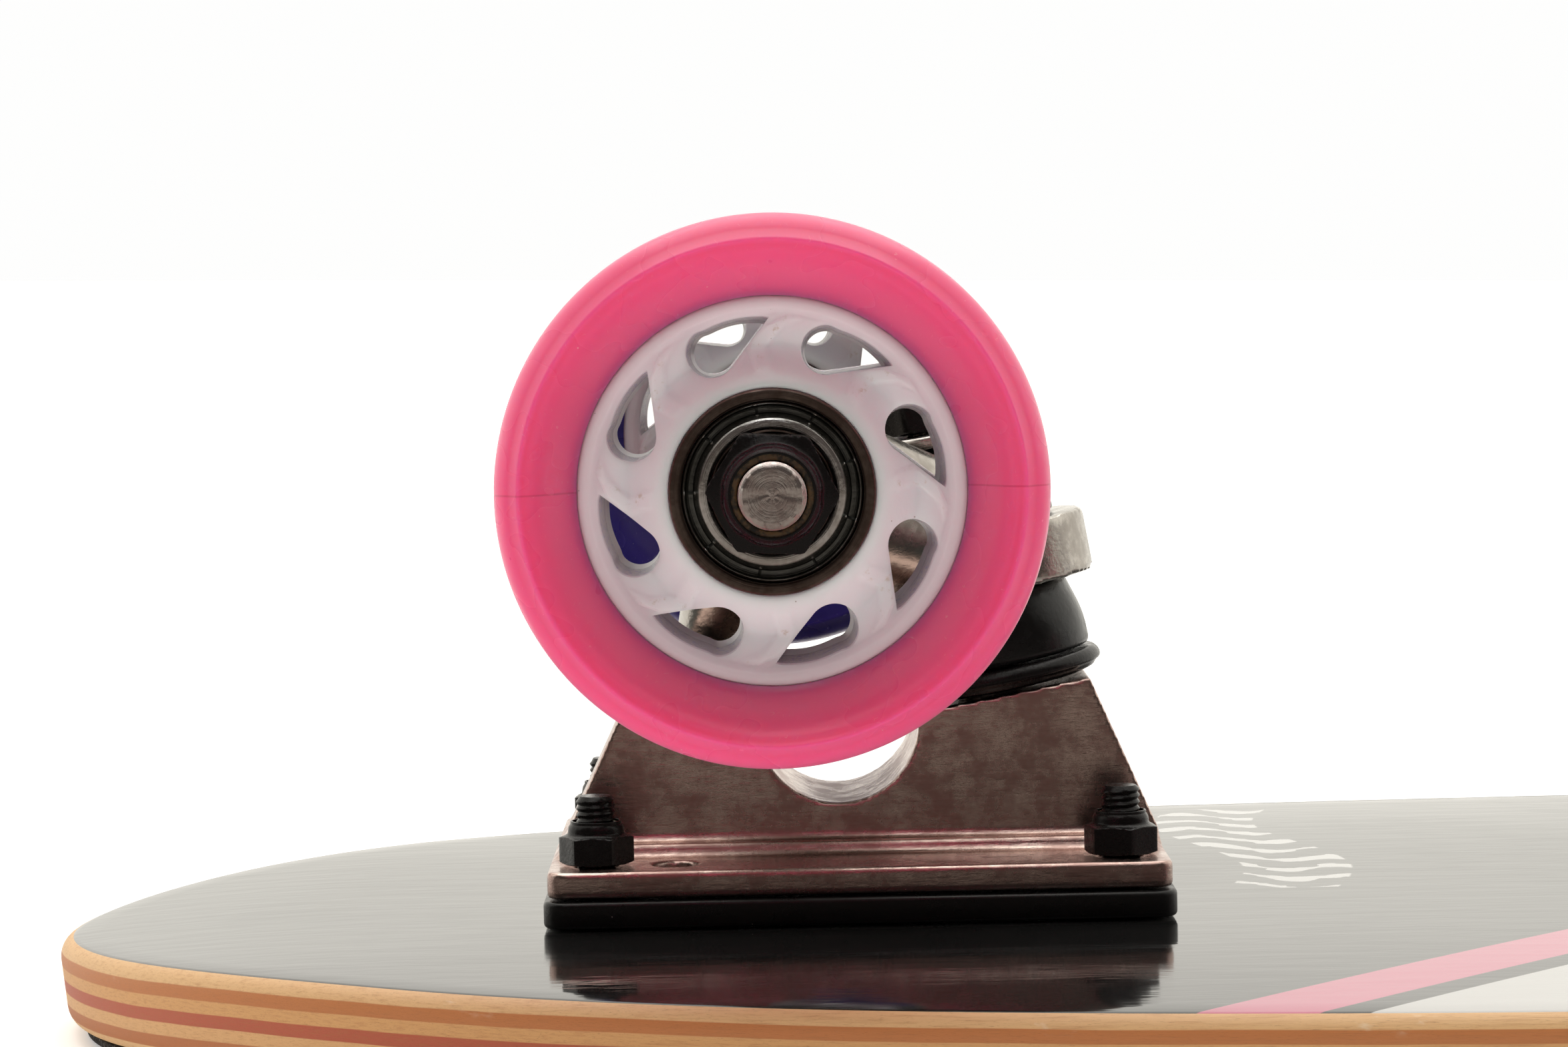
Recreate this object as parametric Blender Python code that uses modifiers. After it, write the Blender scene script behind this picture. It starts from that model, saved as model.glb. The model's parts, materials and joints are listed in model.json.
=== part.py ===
"""A small cruiser skateboard, set down upside down on its nose and tail with its wheels in the air.

Everything is modelled in the board's own frame: X from nose to tail with 0 at half the deck's length,
Y across, Z away from the deck's underside, which is Z = 0 between the two trucks. The board_frame empty
then leans that frame the way the board really rests, on the grip tape of its shallow nose and of its
deeper kicktail, and puts the floor at world Z = 0. Metres throughout.
"""

import math

import bmesh
import bpy
import numpy as np
from mathutils import Matrix, Vector

ROUND_STEPS = 24  # facets of the larger round pieces
SMALL_STEPS = 16  # facets of shanks, bores and collars
HOLE_STEPS = 12  # facets of the bolt holes
GAP = 0.0003  # clearance between pieces that touch on the real board
RUNNING_CLEARANCE = 0.00008  # radial, between the axle and the bearings that turn on it

# Deck
DECK_LENGTH = 0.6925
DECK_WIDTH = 0.194
DECK_THICKNESS = 0.0108
DECK_EDGE_ROUND = 0.0025
NOSE_TAPER = 0.0695  # the nose comes to its full width over a few of these
NOSE_TAPER_POWER = 1.1
NOSE_TIP_HALF_WIDTH = 0.005
TAIL_CORNER = 0.150  # the sides draw in towards the tail over this length
TAIL_EDGE_SHARE = 0.44  # straight end of the tail, as a share of the deck's width
NOSE_KICK_LENGTH = 0.046
NOSE_KICK_DROP = 0.0025
TAIL_KICK_LENGTH = 0.124
TAIL_KICK_DROP = 0.017
FLAT_HALF_WIDTH = 0.036  # the deck is flat this far out, so that the trucks sit flat
CONCAVE_DROP = 0.001
TAPE_THICKNESS = 0.001
TAPE_INSET = 0.002
DECK_STATIONS, DECK_ROWS = 26, 6

# Where the trucks stand
NOSE_OVERHANG = 0.1000  # nose tip to the middle of the nose truck's baseplate
TRUCK_SPACING = 0.4195  # between the middles of the two baseplates

# Truck, in its own frame: origin under the middle of the baseplate, +X towards the middle of the board
BOLT_SPACING_X = 0.0635
BOLT_SPACING_Y = 0.04128
SPARE_HOLE_SPACING_X = 0.05398  # the shorter hole pattern that the outer pair of spare holes is for
RISER_THICKNESS = 0.0033
RISER_MARGIN = 0.0005
PLATE_LENGTH = 0.0752
PLATE_WIDTH = 0.055
PLATE_THICKNESS = 0.0032
PLINTH_HEIGHT = 0.0016
PLINTH_WIDTH = 0.029
BLOCK_WIDTH = 0.024
SADDLE_X, SADDLE_Z, SADDLE_RADIUS = -0.0021, 0.0229, 0.0099
AXLE_X, AXLE_Z = -0.0095, 0.0555
RING_X, RING_Z = 0.0149, 0.0420
PIVOT_X, PIVOT_Z = -0.0208, 0.0250
PIVOT_TOWER_OUTER = (-0.0052, 0.0053)  # (x, z) of the pivot tower's two shoulders from the ball's middle
PIVOT_TOWER_INNER = (0.0083, 0.0004)
SEAT_HALF_LENGTH = 0.0112  # of the sloping seat under the bushings
SADDLE_LEDGE = 0.0008
BLOCK_TOE_HEIGHT = 0.0020
BLOCK_DRAFT = 0.0005
KINGPIN_LEAN = math.radians(10)
LEAN_LIMIT = math.radians(12)  # a truck leans this far each way

# Along the kingpin, measured from the middle of the hanger's ring
RING_RADIUS = 0.0150
RING_BORE = 0.0075
RING_THICKNESS = 0.0078
BOTTOM_BUSHING_RADIUS, BOTTOM_BUSHING_HEIGHT = 0.0130, 0.0088
BOTTOM_WASHER_RADIUS, BOTTOM_WASHER_HEIGHT = 0.0138, 0.0028
TOP_BUSHING_RADIUS, TOP_BUSHING_HEIGHT = 0.0115, 0.0104
TOP_WASHER_RADIUS, TOP_WASHER_HEIGHT = 0.0102, 0.0016
KINGPIN_RADIUS = 0.00476
KINGPIN_FLATS = 0.0143
KINGPIN_HEAD_HEIGHT = 0.0056
KINGPIN_NUT_HEIGHT = 0.0078
KINGPIN_PROUD = 0.0015
KINGPIN_SEAT = 0.0105  # metal between the bottom washer and the kingpin's head
KINGPIN_POCKET_RADIUS = 0.0088

# Pivot, measured along the hanger's stem from the middle of its ball
PIVOT_BALL_RADIUS = 0.0046
PIVOT_NECK_RADIUS = 0.0039
PIVOT_NECK_LENGTH = 0.0085
PIVOT_CUP_RADIUS = 0.0064
PIVOT_CUP_TOP, PIVOT_CUP_BOTTOM = 0.0028, -0.0075
PIVOT_CLEARANCE = 0.0004

# Hanger and axle
HANGER_WIDTH = 0.127
HANGER_END_RADIUS = 0.0080
HANGER_MIDDLE_RADIUS = 0.0092
HANGER_SHOULDER = 0.020  # half the width over which the hanger has its middle radius
HANGER_CHAMFER = 0.0006
GUSSET_HALF_WIDTH, GUSSET_RADIUS = 0.030, 0.0082
SHOULDER_HALF_WIDTH, SHOULDER_RADIUS = 0.017, 0.0080
AXLE_RADIUS = 0.00395
AXLE_CHAMFER = 0.0008
AXLE_NUT_FLATS, AXLE_NUT_HEIGHT = 0.0127, 0.0071
AXLE_PROUD = 0.0009

# Wheel, in its own frame: +Z outwards along the axle, 0 half way between its two bearings
WHEEL_RADIUS = 0.0295
TYRE_HALF_WIDTH = 0.0155
TYRE_CREST_RADIUS = 0.0266
TYRE_SHOULDER_RADIUS, TYRE_SHOULDER_HEIGHT = 0.0040, 0.0108
TYRE_CREST_WIDTH, TYRE_CREST_DROP, TYRE_CREST_EASE = 0.0025, 0.0012, 0.0002
CORE_RADIUS = 0.0213
CORE_LIP = 0.0098
CORE_WEB_HALF = 0.0085
CORE_RIM_WALL = 0.0021
CORE_BOSS_WALL = 0.0016
CORE_STOP_RADIUS = 0.0090  # the bearings rest on this shoulder inside the core
HOLE_COUNT = 8
HOLE_END_DISTANCE, HOLE_END_RADIUS = 0.0160, 0.0024
HOLE_TIP_DISTANCE = 0.0185
HOLE_SWEEP = math.radians(25)
BEARING_OUTER, BEARING_INNER, BEARING_WIDTH = 0.0110, 0.0040, 0.0070
BEARING_SPAN = 0.0237
HUB_CLEARANCE = 0.0008  # hanger end to inner bearing, where the thin axle washer goes

# Mounting bolts
BOLT_RADIUS = 0.0024
BOLT_HEAD_RADIUS, BOLT_HEAD_HEIGHT = 0.0046, 0.0026
BOLT_PROUD = 0.0030
BOLT_NUT_FLATS, BOLT_NUT_HEIGHT = 0.0080, 0.0052

RISER_TOP = GAP + RISER_THICKNESS
PLATE_BOTTOM = RISER_TOP + GAP
PLATE_TOP = PLATE_BOTTOM + PLATE_THICKNESS
WHEEL_CENTRE = HANGER_WIDTH / 2 + HUB_CLEARANCE + BEARING_SPAN / 2
AXLE_NUT_START = WHEEL_CENTRE + BEARING_SPAN / 2 + GAP
AXLE_LENGTH = 2 * (AXLE_NUT_START + AXLE_NUT_HEIGHT + AXLE_PROUD)

FINISHES = {
    # name: (colour, roughness, metallic)
    "deck_maple": ((0.62, 0.40, 0.22), 0.45, 0.0),
    "grip": ((0.02, 0.02, 0.02), 0.95, 0.0),
    "black_rubber": ((0.012, 0.012, 0.013), 0.55, 0.0),
    "baseplate_metal": ((0.17, 0.13, 0.12), 0.30, 1.0),
    "hanger_metal": ((0.55, 0.52, 0.49), 0.28, 1.0),
    "axle_steel": ((0.60, 0.57, 0.54), 0.35, 1.0),
    "black_steel": ((0.015, 0.014, 0.014), 0.35, 0.6),
    "pink_urethane": ((0.72, 0.12, 0.25), 0.35, 0.0),
    "violet_urethane": ((0.03, 0.02, 0.13), 0.35, 0.0),
    "milky_core": ((0.72, 0.64, 0.66), 0.35, 0.0),
    "bearing_steel": ((0.30, 0.26, 0.24), 0.25, 1.0),
}
TYRE_FINISHES = {"right": "pink_urethane", "left": "violet_urethane"}


def clear_scene():
    for obj in list(bpy.data.objects):
        bpy.data.objects.remove(obj, do_unlink=True)
    for collection in list(bpy.data.collections):
        bpy.data.collections.remove(collection)


def new_collection(name):
    collection = bpy.data.collections.new(name)
    bpy.context.scene.collection.children.link(collection)
    return collection


def new_finish(name):
    colour, roughness, metallic = FINISHES[name]
    material = bpy.data.materials.new(name)
    material.use_nodes = True
    shader = material.node_tree.nodes["Principled BSDF"]
    shader.inputs["Base Color"].default_value = (*colour, 1)
    shader.inputs["Roughness"].default_value = roughness
    shader.inputs["Metallic"].default_value = metallic
    return material


class Builder:
    """Makes objects in the board's collection, and cutters and joined pieces in another."""

    def __init__(self):
        self.parts = new_collection("skateboard")
        self.helpers = new_collection("cutters")
        self.finishes = {name: new_finish(name) for name in FINISHES}

    def empty(self, name, parent=None, location=(0, 0, 0), rotation=(0, 0, 0)):
        frame = bpy.data.objects.new(name, None)
        frame.empty_display_size = 0.02
        self.parts.objects.link(frame)
        return self.place(frame, parent, location, rotation)

    def place(self, obj, parent, location=(0, 0, 0), rotation=(0, 0, 0)):
        obj.parent = parent
        obj.location = location
        obj.rotation_euler = rotation
        return obj

    def piece(self, name, mesh, finish, parent, location=(0, 0, 0), rotation=(0, 0, 0)):
        mesh.materials.clear()
        mesh.materials.append(self.finishes[finish])
        mesh.shade_smooth()
        mesh.set_sharp_from_angle(angle=math.radians(35))
        obj = bpy.data.objects.new(name, mesh)
        self.parts.objects.link(obj)
        return self.place(obj, parent, location, rotation)

    def helper(self, name, mesh, parent, location=(0, 0, 0), rotation=(0, 0, 0)):
        obj = bpy.data.objects.new(name, mesh)
        self.helpers.objects.link(obj)
        obj.hide_render = True
        obj.display_type = "WIRE"
        return self.place(obj, parent, location, rotation)


def combine(obj, other, operation):
    boolean = obj.modifiers.new(f"{operation.lower()} {other.name}", "BOOLEAN")
    boolean.operation = operation
    boolean.solver = "EXACT"
    boolean.object = other


def add_bevel(obj, width, segments=2, angle=math.radians(40)):
    bevel = obj.modifiers.new("rounded edges", "BEVEL")
    bevel.width = width
    bevel.segments = segments
    bevel.limit_method = "ANGLE"
    bevel.angle_limit = angle


def add_screw(obj, steps):
    screw = obj.modifiers.new("turned", "SCREW")
    screw.steps = steps
    screw.render_steps = steps
    screw.use_merge_vertices = True
    screw.merge_threshold = 0.00001
    return obj


def mesh_from(bm, name):
    mesh = bpy.data.meshes.new(name)
    bm.to_mesh(mesh)
    bm.free()
    return mesh


def cylinder_mesh(name, radius, bottom, top, segments=SMALL_STEPS):
    """A cylinder about Z from bottom to top."""
    bm = bmesh.new()
    bmesh.ops.create_cone(
        bm,
        cap_ends=True,
        segments=segments,
        radius1=radius,
        radius2=radius,
        depth=top - bottom,
        matrix=Matrix.Translation((0, 0, (top + bottom) / 2)),
    )
    return mesh_from(bm, name)


def box_mesh(name, size, centre):
    bm = bmesh.new()
    bmesh.ops.create_cube(bm, size=1, matrix=Matrix.Translation(centre) @ Matrix.Diagonal((*size, 1)))
    return mesh_from(bm, name)


def hull_mesh(name, points):
    """The smallest convex solid around the points."""
    bm = bmesh.new()
    for point in points:
        bm.verts.new(point)
    made = bmesh.ops.convex_hull(bm, input=bm.verts)
    unused = set(made["geom_interior"]) | set(made["geom_unused"])
    bmesh.ops.delete(bm, geom=[g for g in unused if isinstance(g, bmesh.types.BMVert)], context="VERTS")
    bmesh.ops.recalc_face_normals(bm, faces=bm.faces)
    return mesh_from(bm, name)


def profile_mesh(name, profile, closed):
    """The (radius, height) profile as an edge chain at +X, for a Screw modifier."""
    bm = bmesh.new()
    verts = [bm.verts.new((radius, 0, height)) for radius, height in profile]
    for start, end in zip(verts, verts[1:]):
        bm.edges.new((start, end))
    if closed:
        bm.edges.new((verts[-1], verts[0]))
    return mesh_from(bm, name)


def prism_mesh(name, outline, width):
    """A closed (x, z) outline given a width along Y, centred on Y = 0."""
    curve = bpy.data.curves.new(name, "CURVE")
    curve.dimensions = "2D"
    curve.fill_mode = "BOTH"
    curve.extrude = width / 2
    spline = curve.splines.new("POLY")
    spline.points.add(len(outline) - 1)
    for point, (x, z) in zip(spline.points, outline):
        point.co = (x, z, 0, 1)
    spline.use_cyclic_u = True
    drawn = bpy.data.objects.new(name, curve)
    bpy.context.scene.collection.objects.link(drawn)
    flat = bpy.data.meshes.new_from_object(drawn.evaluated_get(bpy.context.evaluated_depsgraph_get()))
    bpy.data.objects.remove(drawn, do_unlink=True)
    bm = bmesh.new()
    bm.from_mesh(flat)
    bmesh.ops.remove_doubles(bm, verts=bm.verts, dist=0.000005)
    bmesh.ops.rotate(bm, verts=bm.verts, matrix=Matrix.Rotation(math.pi / 2, 3, "X"))
    bmesh.ops.recalc_face_normals(bm, faces=bm.faces)
    return mesh_from(bm, name)


def circle_points(centre, axis, radius, count):
    """Points around a circle about an axis that lies in the XZ plane or along Y."""
    axis = Vector(axis).normalized()
    across = Vector((0, 1, 0)) if abs(axis.y) < 0.5 else Vector((1, 0, 0))
    beside = axis.cross(across)
    turns = np.linspace(0, 2 * math.pi, count, endpoint=False)
    return [Vector(centre) + radius * (across * math.cos(t) + beside * math.sin(t)) for t in turns]


def tube_ends(centre, half_width, radius):
    """Points around the two ends of a tube along Y."""
    ends = [centre + Vector((0, side * half_width, 0)) for side in (-1, 1)]
    return [point for end in ends for point in circle_points(end, (0, 1, 0), radius, 10)]


# ---------------------------------------------------------------- deck


def half_width(x):
    """Half the deck's width at x: a rounded point at the nose, a blunt tail with round corners."""
    from_nose = max(x + DECK_LENGTH / 2, 0)
    from_tail = min(max(DECK_LENGTH / 2 - x, 0) / TAIL_CORNER, 1)
    nose = math.sqrt(1 - math.exp(-((from_nose / NOSE_TAPER) ** NOSE_TAPER_POWER)))
    tail = TAIL_EDGE_SHARE + (1 - TAIL_EDGE_SHARE) * math.sqrt(1 - (1 - from_tail) ** 2)
    return max(DECK_WIDTH / 2 * nose * tail, NOSE_TIP_HALF_WIDTH)


def underside_height(x, y):
    """Height of the deck's underside, which the kicks and the concave bend down towards the grip."""
    nose = max(1 - (x + DECK_LENGTH / 2) / NOSE_KICK_LENGTH, 0)
    tail = max(1 - (DECK_LENGTH / 2 - x) / TAIL_KICK_LENGTH, 0)
    rail = max(abs(y) - FLAT_HALF_WIDTH, 0) / (DECK_WIDTH / 2 - FLAT_HALF_WIDTH)
    return -(NOSE_KICK_DROP * nose**2 + TAIL_KICK_DROP * tail**1.6 + CONCAVE_DROP * rail**2)


def deck_point(x, y, depth):
    """The point of the deck that lies depth below its underside at (x, y), square to the surface."""
    step = 0.0005
    slope_x = (underside_height(x + step, y) - underside_height(x - step, y)) / (2 * step)
    slope_y = (underside_height(x, y + step) - underside_height(x, y - step)) / (2 * step)
    normal = Vector((-slope_x, -slope_y, 1)).normalized()
    return Vector((x, y, underside_height(x, y))) - depth * normal


def deck_layer(builder, name, depth, thickness, inset, finish, frame):
    """One layer of the deck's outline, from depth down to depth plus thickness."""
    bm = bmesh.new()
    bmesh.ops.create_grid(bm, x_segments=DECK_STATIONS, y_segments=DECK_ROWS, size=1)
    for vert in bm.verts:
        x = (DECK_LENGTH / 2 - inset) * math.sin(vert.co.x * math.pi / 2)
        y = vert.co.y * (half_width(x) - inset)
        vert.co = deck_point(x, y, depth)
    layer = builder.piece(name, mesh_from(bm, name), finish, frame)
    solid = layer.modifiers.new("thickness", "SOLIDIFY")
    solid.thickness = thickness
    solid.offset = -1
    solid.use_even_offset = True
    return layer


def resting_lean():
    """The board's turn about Y when the tape of its nose tip and of its tail tip both touch the floor."""
    depth = DECK_THICKNESS + GAP + TAPE_THICKNESS
    end = DECK_LENGTH / 2 - TAPE_INSET
    nose, tail = deck_point(-end, 0, depth), deck_point(end, 0, depth)
    return math.atan2(tail.z - nose.z, tail.x - nose.x)


def build_deck(builder, frame, trucks):
    deck = deck_layer(builder, "deck", 0, DECK_THICKNESS, 0, "deck_maple", frame)
    add_bevel(deck, DECK_EDGE_ROUND, segments=1, angle=math.radians(60))
    tape_depth = DECK_THICKNESS + GAP
    tape = deck_layer(builder, "grip_tape", tape_depth, TAPE_THICKNESS, TAPE_INSET, "grip", frame)
    hole = BOLT_RADIUS + GAP
    sink = BOLT_HEAD_RADIUS + GAP
    sink_top = -DECK_THICKNESS - GAP - TAPE_THICKNESS + BOLT_HEAD_HEIGHT + GAP
    for truck_name, truck in trucks.items():
        for name, x, y in bolt_places():
            place = (x, y, 0)
            shank = cylinder_mesh("bolt hole", hole, -2 * DECK_THICKNESS, DECK_THICKNESS, HOLE_STEPS)
            shank = builder.helper(f"{truck_name}_{name}_deck_hole", shank, truck, place)
            combine(deck, shank, "DIFFERENCE")
            head = cylinder_mesh("head recess", sink, -2 * DECK_THICKNESS, sink_top, HOLE_STEPS)
            head = builder.helper(f"{truck_name}_{name}_head_recess", head, truck, place)
            combine(deck, head, "DIFFERENCE")
            combine(tape, head, "DIFFERENCE")


# ---------------------------------------------------------------- fasteners


def bolt_places(side_names=("right", "left")):
    """(name, x, y) of a truck's four mounting bolts, in the truck's frame, its -Y side first."""
    return [
        (f"{end}_{side}", x * BOLT_SPACING_X / 2, y * BOLT_SPACING_Y / 2)
        for end, x in (("outer", -1), ("inner", 1))
        for side, y in zip(side_names, (-1, 1))
    ]


def hex_nut(builder, name, flats, height, bore, finish, parent, location=(0, 0, 0), rotation=(0, 0, 0)):
    """A locking nut: a chamfered hexagon with a round collar on top. Its foot is at Z = 0."""
    steps = SMALL_STEPS if flats > BOLT_NUT_FLATS else HOLE_STEPS
    collar_start = 0.66 * height
    corner = flats / math.sqrt(3)
    collar = 0.43 * flats
    chamfer = 0.06 * flats
    hexagon = cylinder_mesh(name, corner, 0, collar_start, 6)
    hexagon.transform(Matrix.Rotation(math.pi / 6, 4, "Z"))
    nut = builder.piece(name, hexagon, finish, parent, location, rotation)
    outline = [
        (0, collar_start + chamfer),
        (collar, collar_start + chamfer),
        (corner + chamfer, collar_start - 0.6 * chamfer),
        (corner + chamfer, 0.6 * chamfer),
        (flats / 2, -chamfer),
        (0, -chamfer),
    ]
    turned = profile_mesh(f"{name} chamfers", outline, closed=False)
    turned = add_screw(builder.helper(f"{name}_chamfers", turned, parent, location, rotation), steps)
    combine(nut, turned, "INTERSECT")
    top = cylinder_mesh(f"{name} collar", collar, 0.5 * collar_start, height, steps)
    combine(nut, builder.helper(f"{name}_collar", top, parent, location, rotation), "UNION")
    hole = cylinder_mesh(f"{name} bore", bore, -height, 2 * height, steps)
    combine(nut, builder.helper(f"{name}_bore", hole, parent, location, rotation), "DIFFERENCE")
    return nut


def build_mounting_bolts(builder, truck_name, truck, side_names):
    head_bottom = -DECK_THICKNESS - GAP - TAPE_THICKNESS
    nut_foot = PLATE_TOP + GAP
    tip = nut_foot + BOLT_NUT_HEIGHT + BOLT_PROUD
    tip_chamfer = 0.0005
    for name, x, y in bolt_places(side_names):
        profile = [
            (0, tip),
            (BOLT_RADIUS - tip_chamfer, tip),
            (BOLT_RADIUS, tip - tip_chamfer),
            (BOLT_RADIUS, head_bottom + BOLT_HEAD_HEIGHT),
            (BOLT_HEAD_RADIUS, head_bottom + 0.0004),
            (BOLT_HEAD_RADIUS, head_bottom),
            (0, head_bottom),
        ]
        bolt_name = f"{truck_name}_bolt_{name}"
        mesh = profile_mesh(bolt_name, profile, closed=False)
        add_screw(builder.piece(bolt_name, mesh, "black_steel", truck, (x, y, 0)), HOLE_STEPS)
        nut_name = f"{truck_name}_bolt_nut_{name}"
        bore = BOLT_RADIUS + GAP
        place = (x, y, nut_foot)
        hex_nut(builder, nut_name, BOLT_NUT_FLATS, BOLT_NUT_HEIGHT, bore, "black_steel", truck, place)


# ---------------------------------------------------------------- truck, the parts fixed to the deck


def plate_holes(builder, name, parent):
    """Cutters for the bolt holes through a riser or baseplate, with the spare outer pair."""
    spare_x = BOLT_SPACING_X / 2 - SPARE_HOLE_SPACING_X
    places = [(x, y) for _, x, y in bolt_places()]
    places += [(spare_x, y * BOLT_SPACING_Y / 2) for y in (-1, 1)]
    top = 3 * PLATE_TOP
    for index, (x, y) in enumerate(places):
        mesh = cylinder_mesh(f"{name} hole", BOLT_RADIUS + GAP, -top, top, HOLE_STEPS)
        yield builder.helper(f"{name}_hole_{index}", mesh, parent, (x, y, 0))


def block_outline():
    """Side view of the baseplate's casting: pivot tower, round saddle, kingpin tower."""
    saddle = [
        (SADDLE_X + SADDLE_RADIUS * math.cos(turn), SADDLE_Z + SADDLE_RADIUS * math.sin(turn))
        for turn in np.linspace(math.pi, 2 * math.pi, 11)
    ]
    half, seat_lean = PLATE_LENGTH / 2, math.tan(KINGPIN_LEAN)
    seat_x, seat_z = kingpin_point(-kingpin_stations()["seat"])
    return [
        (-half, PLATE_BOTTOM + PLATE_THICKNESS / 2),
        (-half + BLOCK_DRAFT, PLATE_TOP),
        *((PIVOT_X + x, PIVOT_Z + z) for x, z in (PIVOT_TOWER_OUTER, PIVOT_TOWER_INNER)),
        *saddle,
        (SADDLE_X + SADDLE_RADIUS + SADDLE_LEDGE, seat_z + (SADDLE_X + SADDLE_RADIUS - seat_x) * seat_lean),
        (seat_x + SEAT_HALF_LENGTH, seat_z + SEAT_HALF_LENGTH * seat_lean),
        (half - BLOCK_DRAFT, PLATE_TOP + BLOCK_TOE_HEIGHT),
        (half, PLATE_BOTTOM + PLATE_THICKNESS / 2),
    ]


def kingpin_stations():
    """Distances along the kingpin from the middle of the ring, downwards and upwards, of each piece."""
    ring = RING_THICKNESS / 2
    bottom_bushing = ring + GAP
    bottom_washer = bottom_bushing + BOTTOM_BUSHING_HEIGHT + GAP
    seat = bottom_washer + BOTTOM_WASHER_HEIGHT + GAP
    top_washer = ring + GAP + TOP_BUSHING_HEIGHT + GAP
    nut = top_washer + TOP_WASHER_HEIGHT + GAP
    return {
        "bottom_bushing": bottom_bushing,
        "bottom_washer": bottom_washer,
        "seat": seat,
        "head": seat + KINGPIN_SEAT + GAP,
        "top_bushing": ring + GAP,
        "top_washer": top_washer,
        "nut": nut,
        "tip": nut + KINGPIN_NUT_HEIGHT + KINGPIN_PROUD,
    }


def kingpin_point(distance):
    """(x, z) on the kingpin's axis, this far above the middle of the ring."""
    return RING_X - distance * math.sin(KINGPIN_LEAN), RING_Z + distance * math.cos(KINGPIN_LEAN)


def stem_direction():
    """Unit (x, z) from the pivot's ball up to the axle, which the hanger's stem follows."""
    x, z = AXLE_X - PIVOT_X, AXLE_Z - PIVOT_Z
    length = math.hypot(x, z)
    return x / length, z / length


def build_riser(builder, truck_name, truck):
    size = (PLATE_LENGTH + 2 * RISER_MARGIN, PLATE_WIDTH + 2 * RISER_MARGIN, RISER_THICKNESS)
    name = f"{truck_name}_riser_pad"
    mesh = box_mesh(name, size, (0, 0, GAP + RISER_THICKNESS / 2))
    riser = builder.piece(name, mesh, "black_rubber", truck)
    for hole in plate_holes(builder, name, truck):
        combine(riser, hole, "DIFFERENCE")


def build_baseplate(builder, truck_name, truck, kingpin_frame, stem_frame):
    name = f"{truck_name}_baseplate"
    middle = (PLATE_BOTTOM + PLATE_TOP) / 2
    flange = box_mesh(name, (PLATE_LENGTH, PLATE_WIDTH, PLATE_THICKNESS), (0, 0, middle))
    baseplate = builder.piece(name, flange, "baseplate_metal", truck)
    add_bevel(baseplate, 0.0008)
    plinth_top = PLATE_TOP + PLINTH_HEIGHT
    plinth_size = (PLATE_LENGTH - 0.002, PLINTH_WIDTH, plinth_top - middle)
    plinth = box_mesh(f"{name} plinth", plinth_size, (0, 0, (plinth_top + middle) / 2))
    combine(baseplate, builder.helper(f"{name}_plinth", plinth, truck), "UNION")
    block = builder.helper(f"{name}_block", prism_mesh(name, block_outline(), BLOCK_WIDTH), truck)
    add_bevel(block, 0.0007, segments=1, angle=math.radians(30))
    combine(baseplate, block, "UNION")
    for hole in plate_holes(builder, name, truck):
        combine(baseplate, hole, "DIFFERENCE")
    stations = kingpin_stations()
    bore = cylinder_mesh(f"{name} bore", KINGPIN_RADIUS + GAP, -2 * stations["head"], 0)
    combine(baseplate, builder.helper(f"{name}_kingpin_bore", bore, kingpin_frame), "DIFFERENCE")
    pocket_top = GAP - stations["head"]
    pocket = cylinder_mesh(f"{name} pocket", KINGPIN_POCKET_RADIUS, -2 * stations["head"], pocket_top)
    combine(baseplate, builder.helper(f"{name}_kingpin_pocket", pocket, kingpin_frame), "DIFFERENCE")
    seat = cylinder_mesh(f"{name} seat", PIVOT_CUP_RADIUS + GAP, PIVOT_CUP_BOTTOM - GAP, 0.02)
    combine(baseplate, builder.helper(f"{name}_pivot_seat", seat, stem_frame), "DIFFERENCE")


def build_pivot_cup(builder, truck_name, stem_frame):
    """A cup whose round floor holds the pivot's ball and whose mouth flares to let the stem lean."""
    hollow = PIVOT_BALL_RADIUS + PIVOT_CLEARANCE
    floor = [
        (hollow * math.cos(turn), hollow * math.sin(turn))
        for turn in np.radians((0, -30, -60))
    ]
    profile = [
        (hollow + 0.0007, PIVOT_CUP_TOP),
        (PIVOT_CUP_RADIUS, PIVOT_CUP_TOP),
        (PIVOT_CUP_RADIUS, PIVOT_CUP_BOTTOM),
        (0, PIVOT_CUP_BOTTOM),
        (0, -hollow),
        *reversed(floor),
    ]
    name = f"{truck_name}_pivot_cup"
    mesh = profile_mesh(name, profile, closed=True)
    bm = bmesh.new()
    bm.from_mesh(mesh)
    on_axis = [edge for edge in bm.edges if all(vert.co.x == 0 for vert in edge.verts)]
    bmesh.ops.delete(bm, geom=on_axis, context="EDGES")
    bm.to_mesh(mesh)
    bm.free()
    add_screw(builder.piece(name, mesh, "black_rubber", stem_frame), SMALL_STEPS)


def build_kingpin(builder, truck_name, frame):
    stations = kingpin_stations()
    name = f"{truck_name}_kingpin"
    chamfer = 0.0008
    shank = [
        (0, stations["tip"]),
        (KINGPIN_RADIUS - chamfer, stations["tip"]),
        (KINGPIN_RADIUS, stations["tip"] - chamfer),
        (KINGPIN_RADIUS, -stations["head"] - KINGPIN_HEAD_HEIGHT / 2),
        (0, -stations["head"] - KINGPIN_HEAD_HEIGHT / 2),
    ]
    pin = add_screw(builder.piece(name, profile_mesh(name, shank, False), "axle_steel", frame), SMALL_STEPS)
    corner = KINGPIN_FLATS / math.sqrt(3)
    bottom = -stations["head"] - KINGPIN_HEAD_HEIGHT
    head = cylinder_mesh(f"{name} head", corner, bottom, -stations["head"], 6)
    combine(pin, builder.helper(f"{name}_head", head, frame), "UNION")


def washer_profile(bottom, top, inner, outer, foot):
    """A washer's section: flat on top, drawn in to the foot radius underneath."""
    middle = (bottom + top) / 2
    return [(outer, top), (outer, middle), (foot, bottom), (inner, bottom), (inner, top)]


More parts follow.
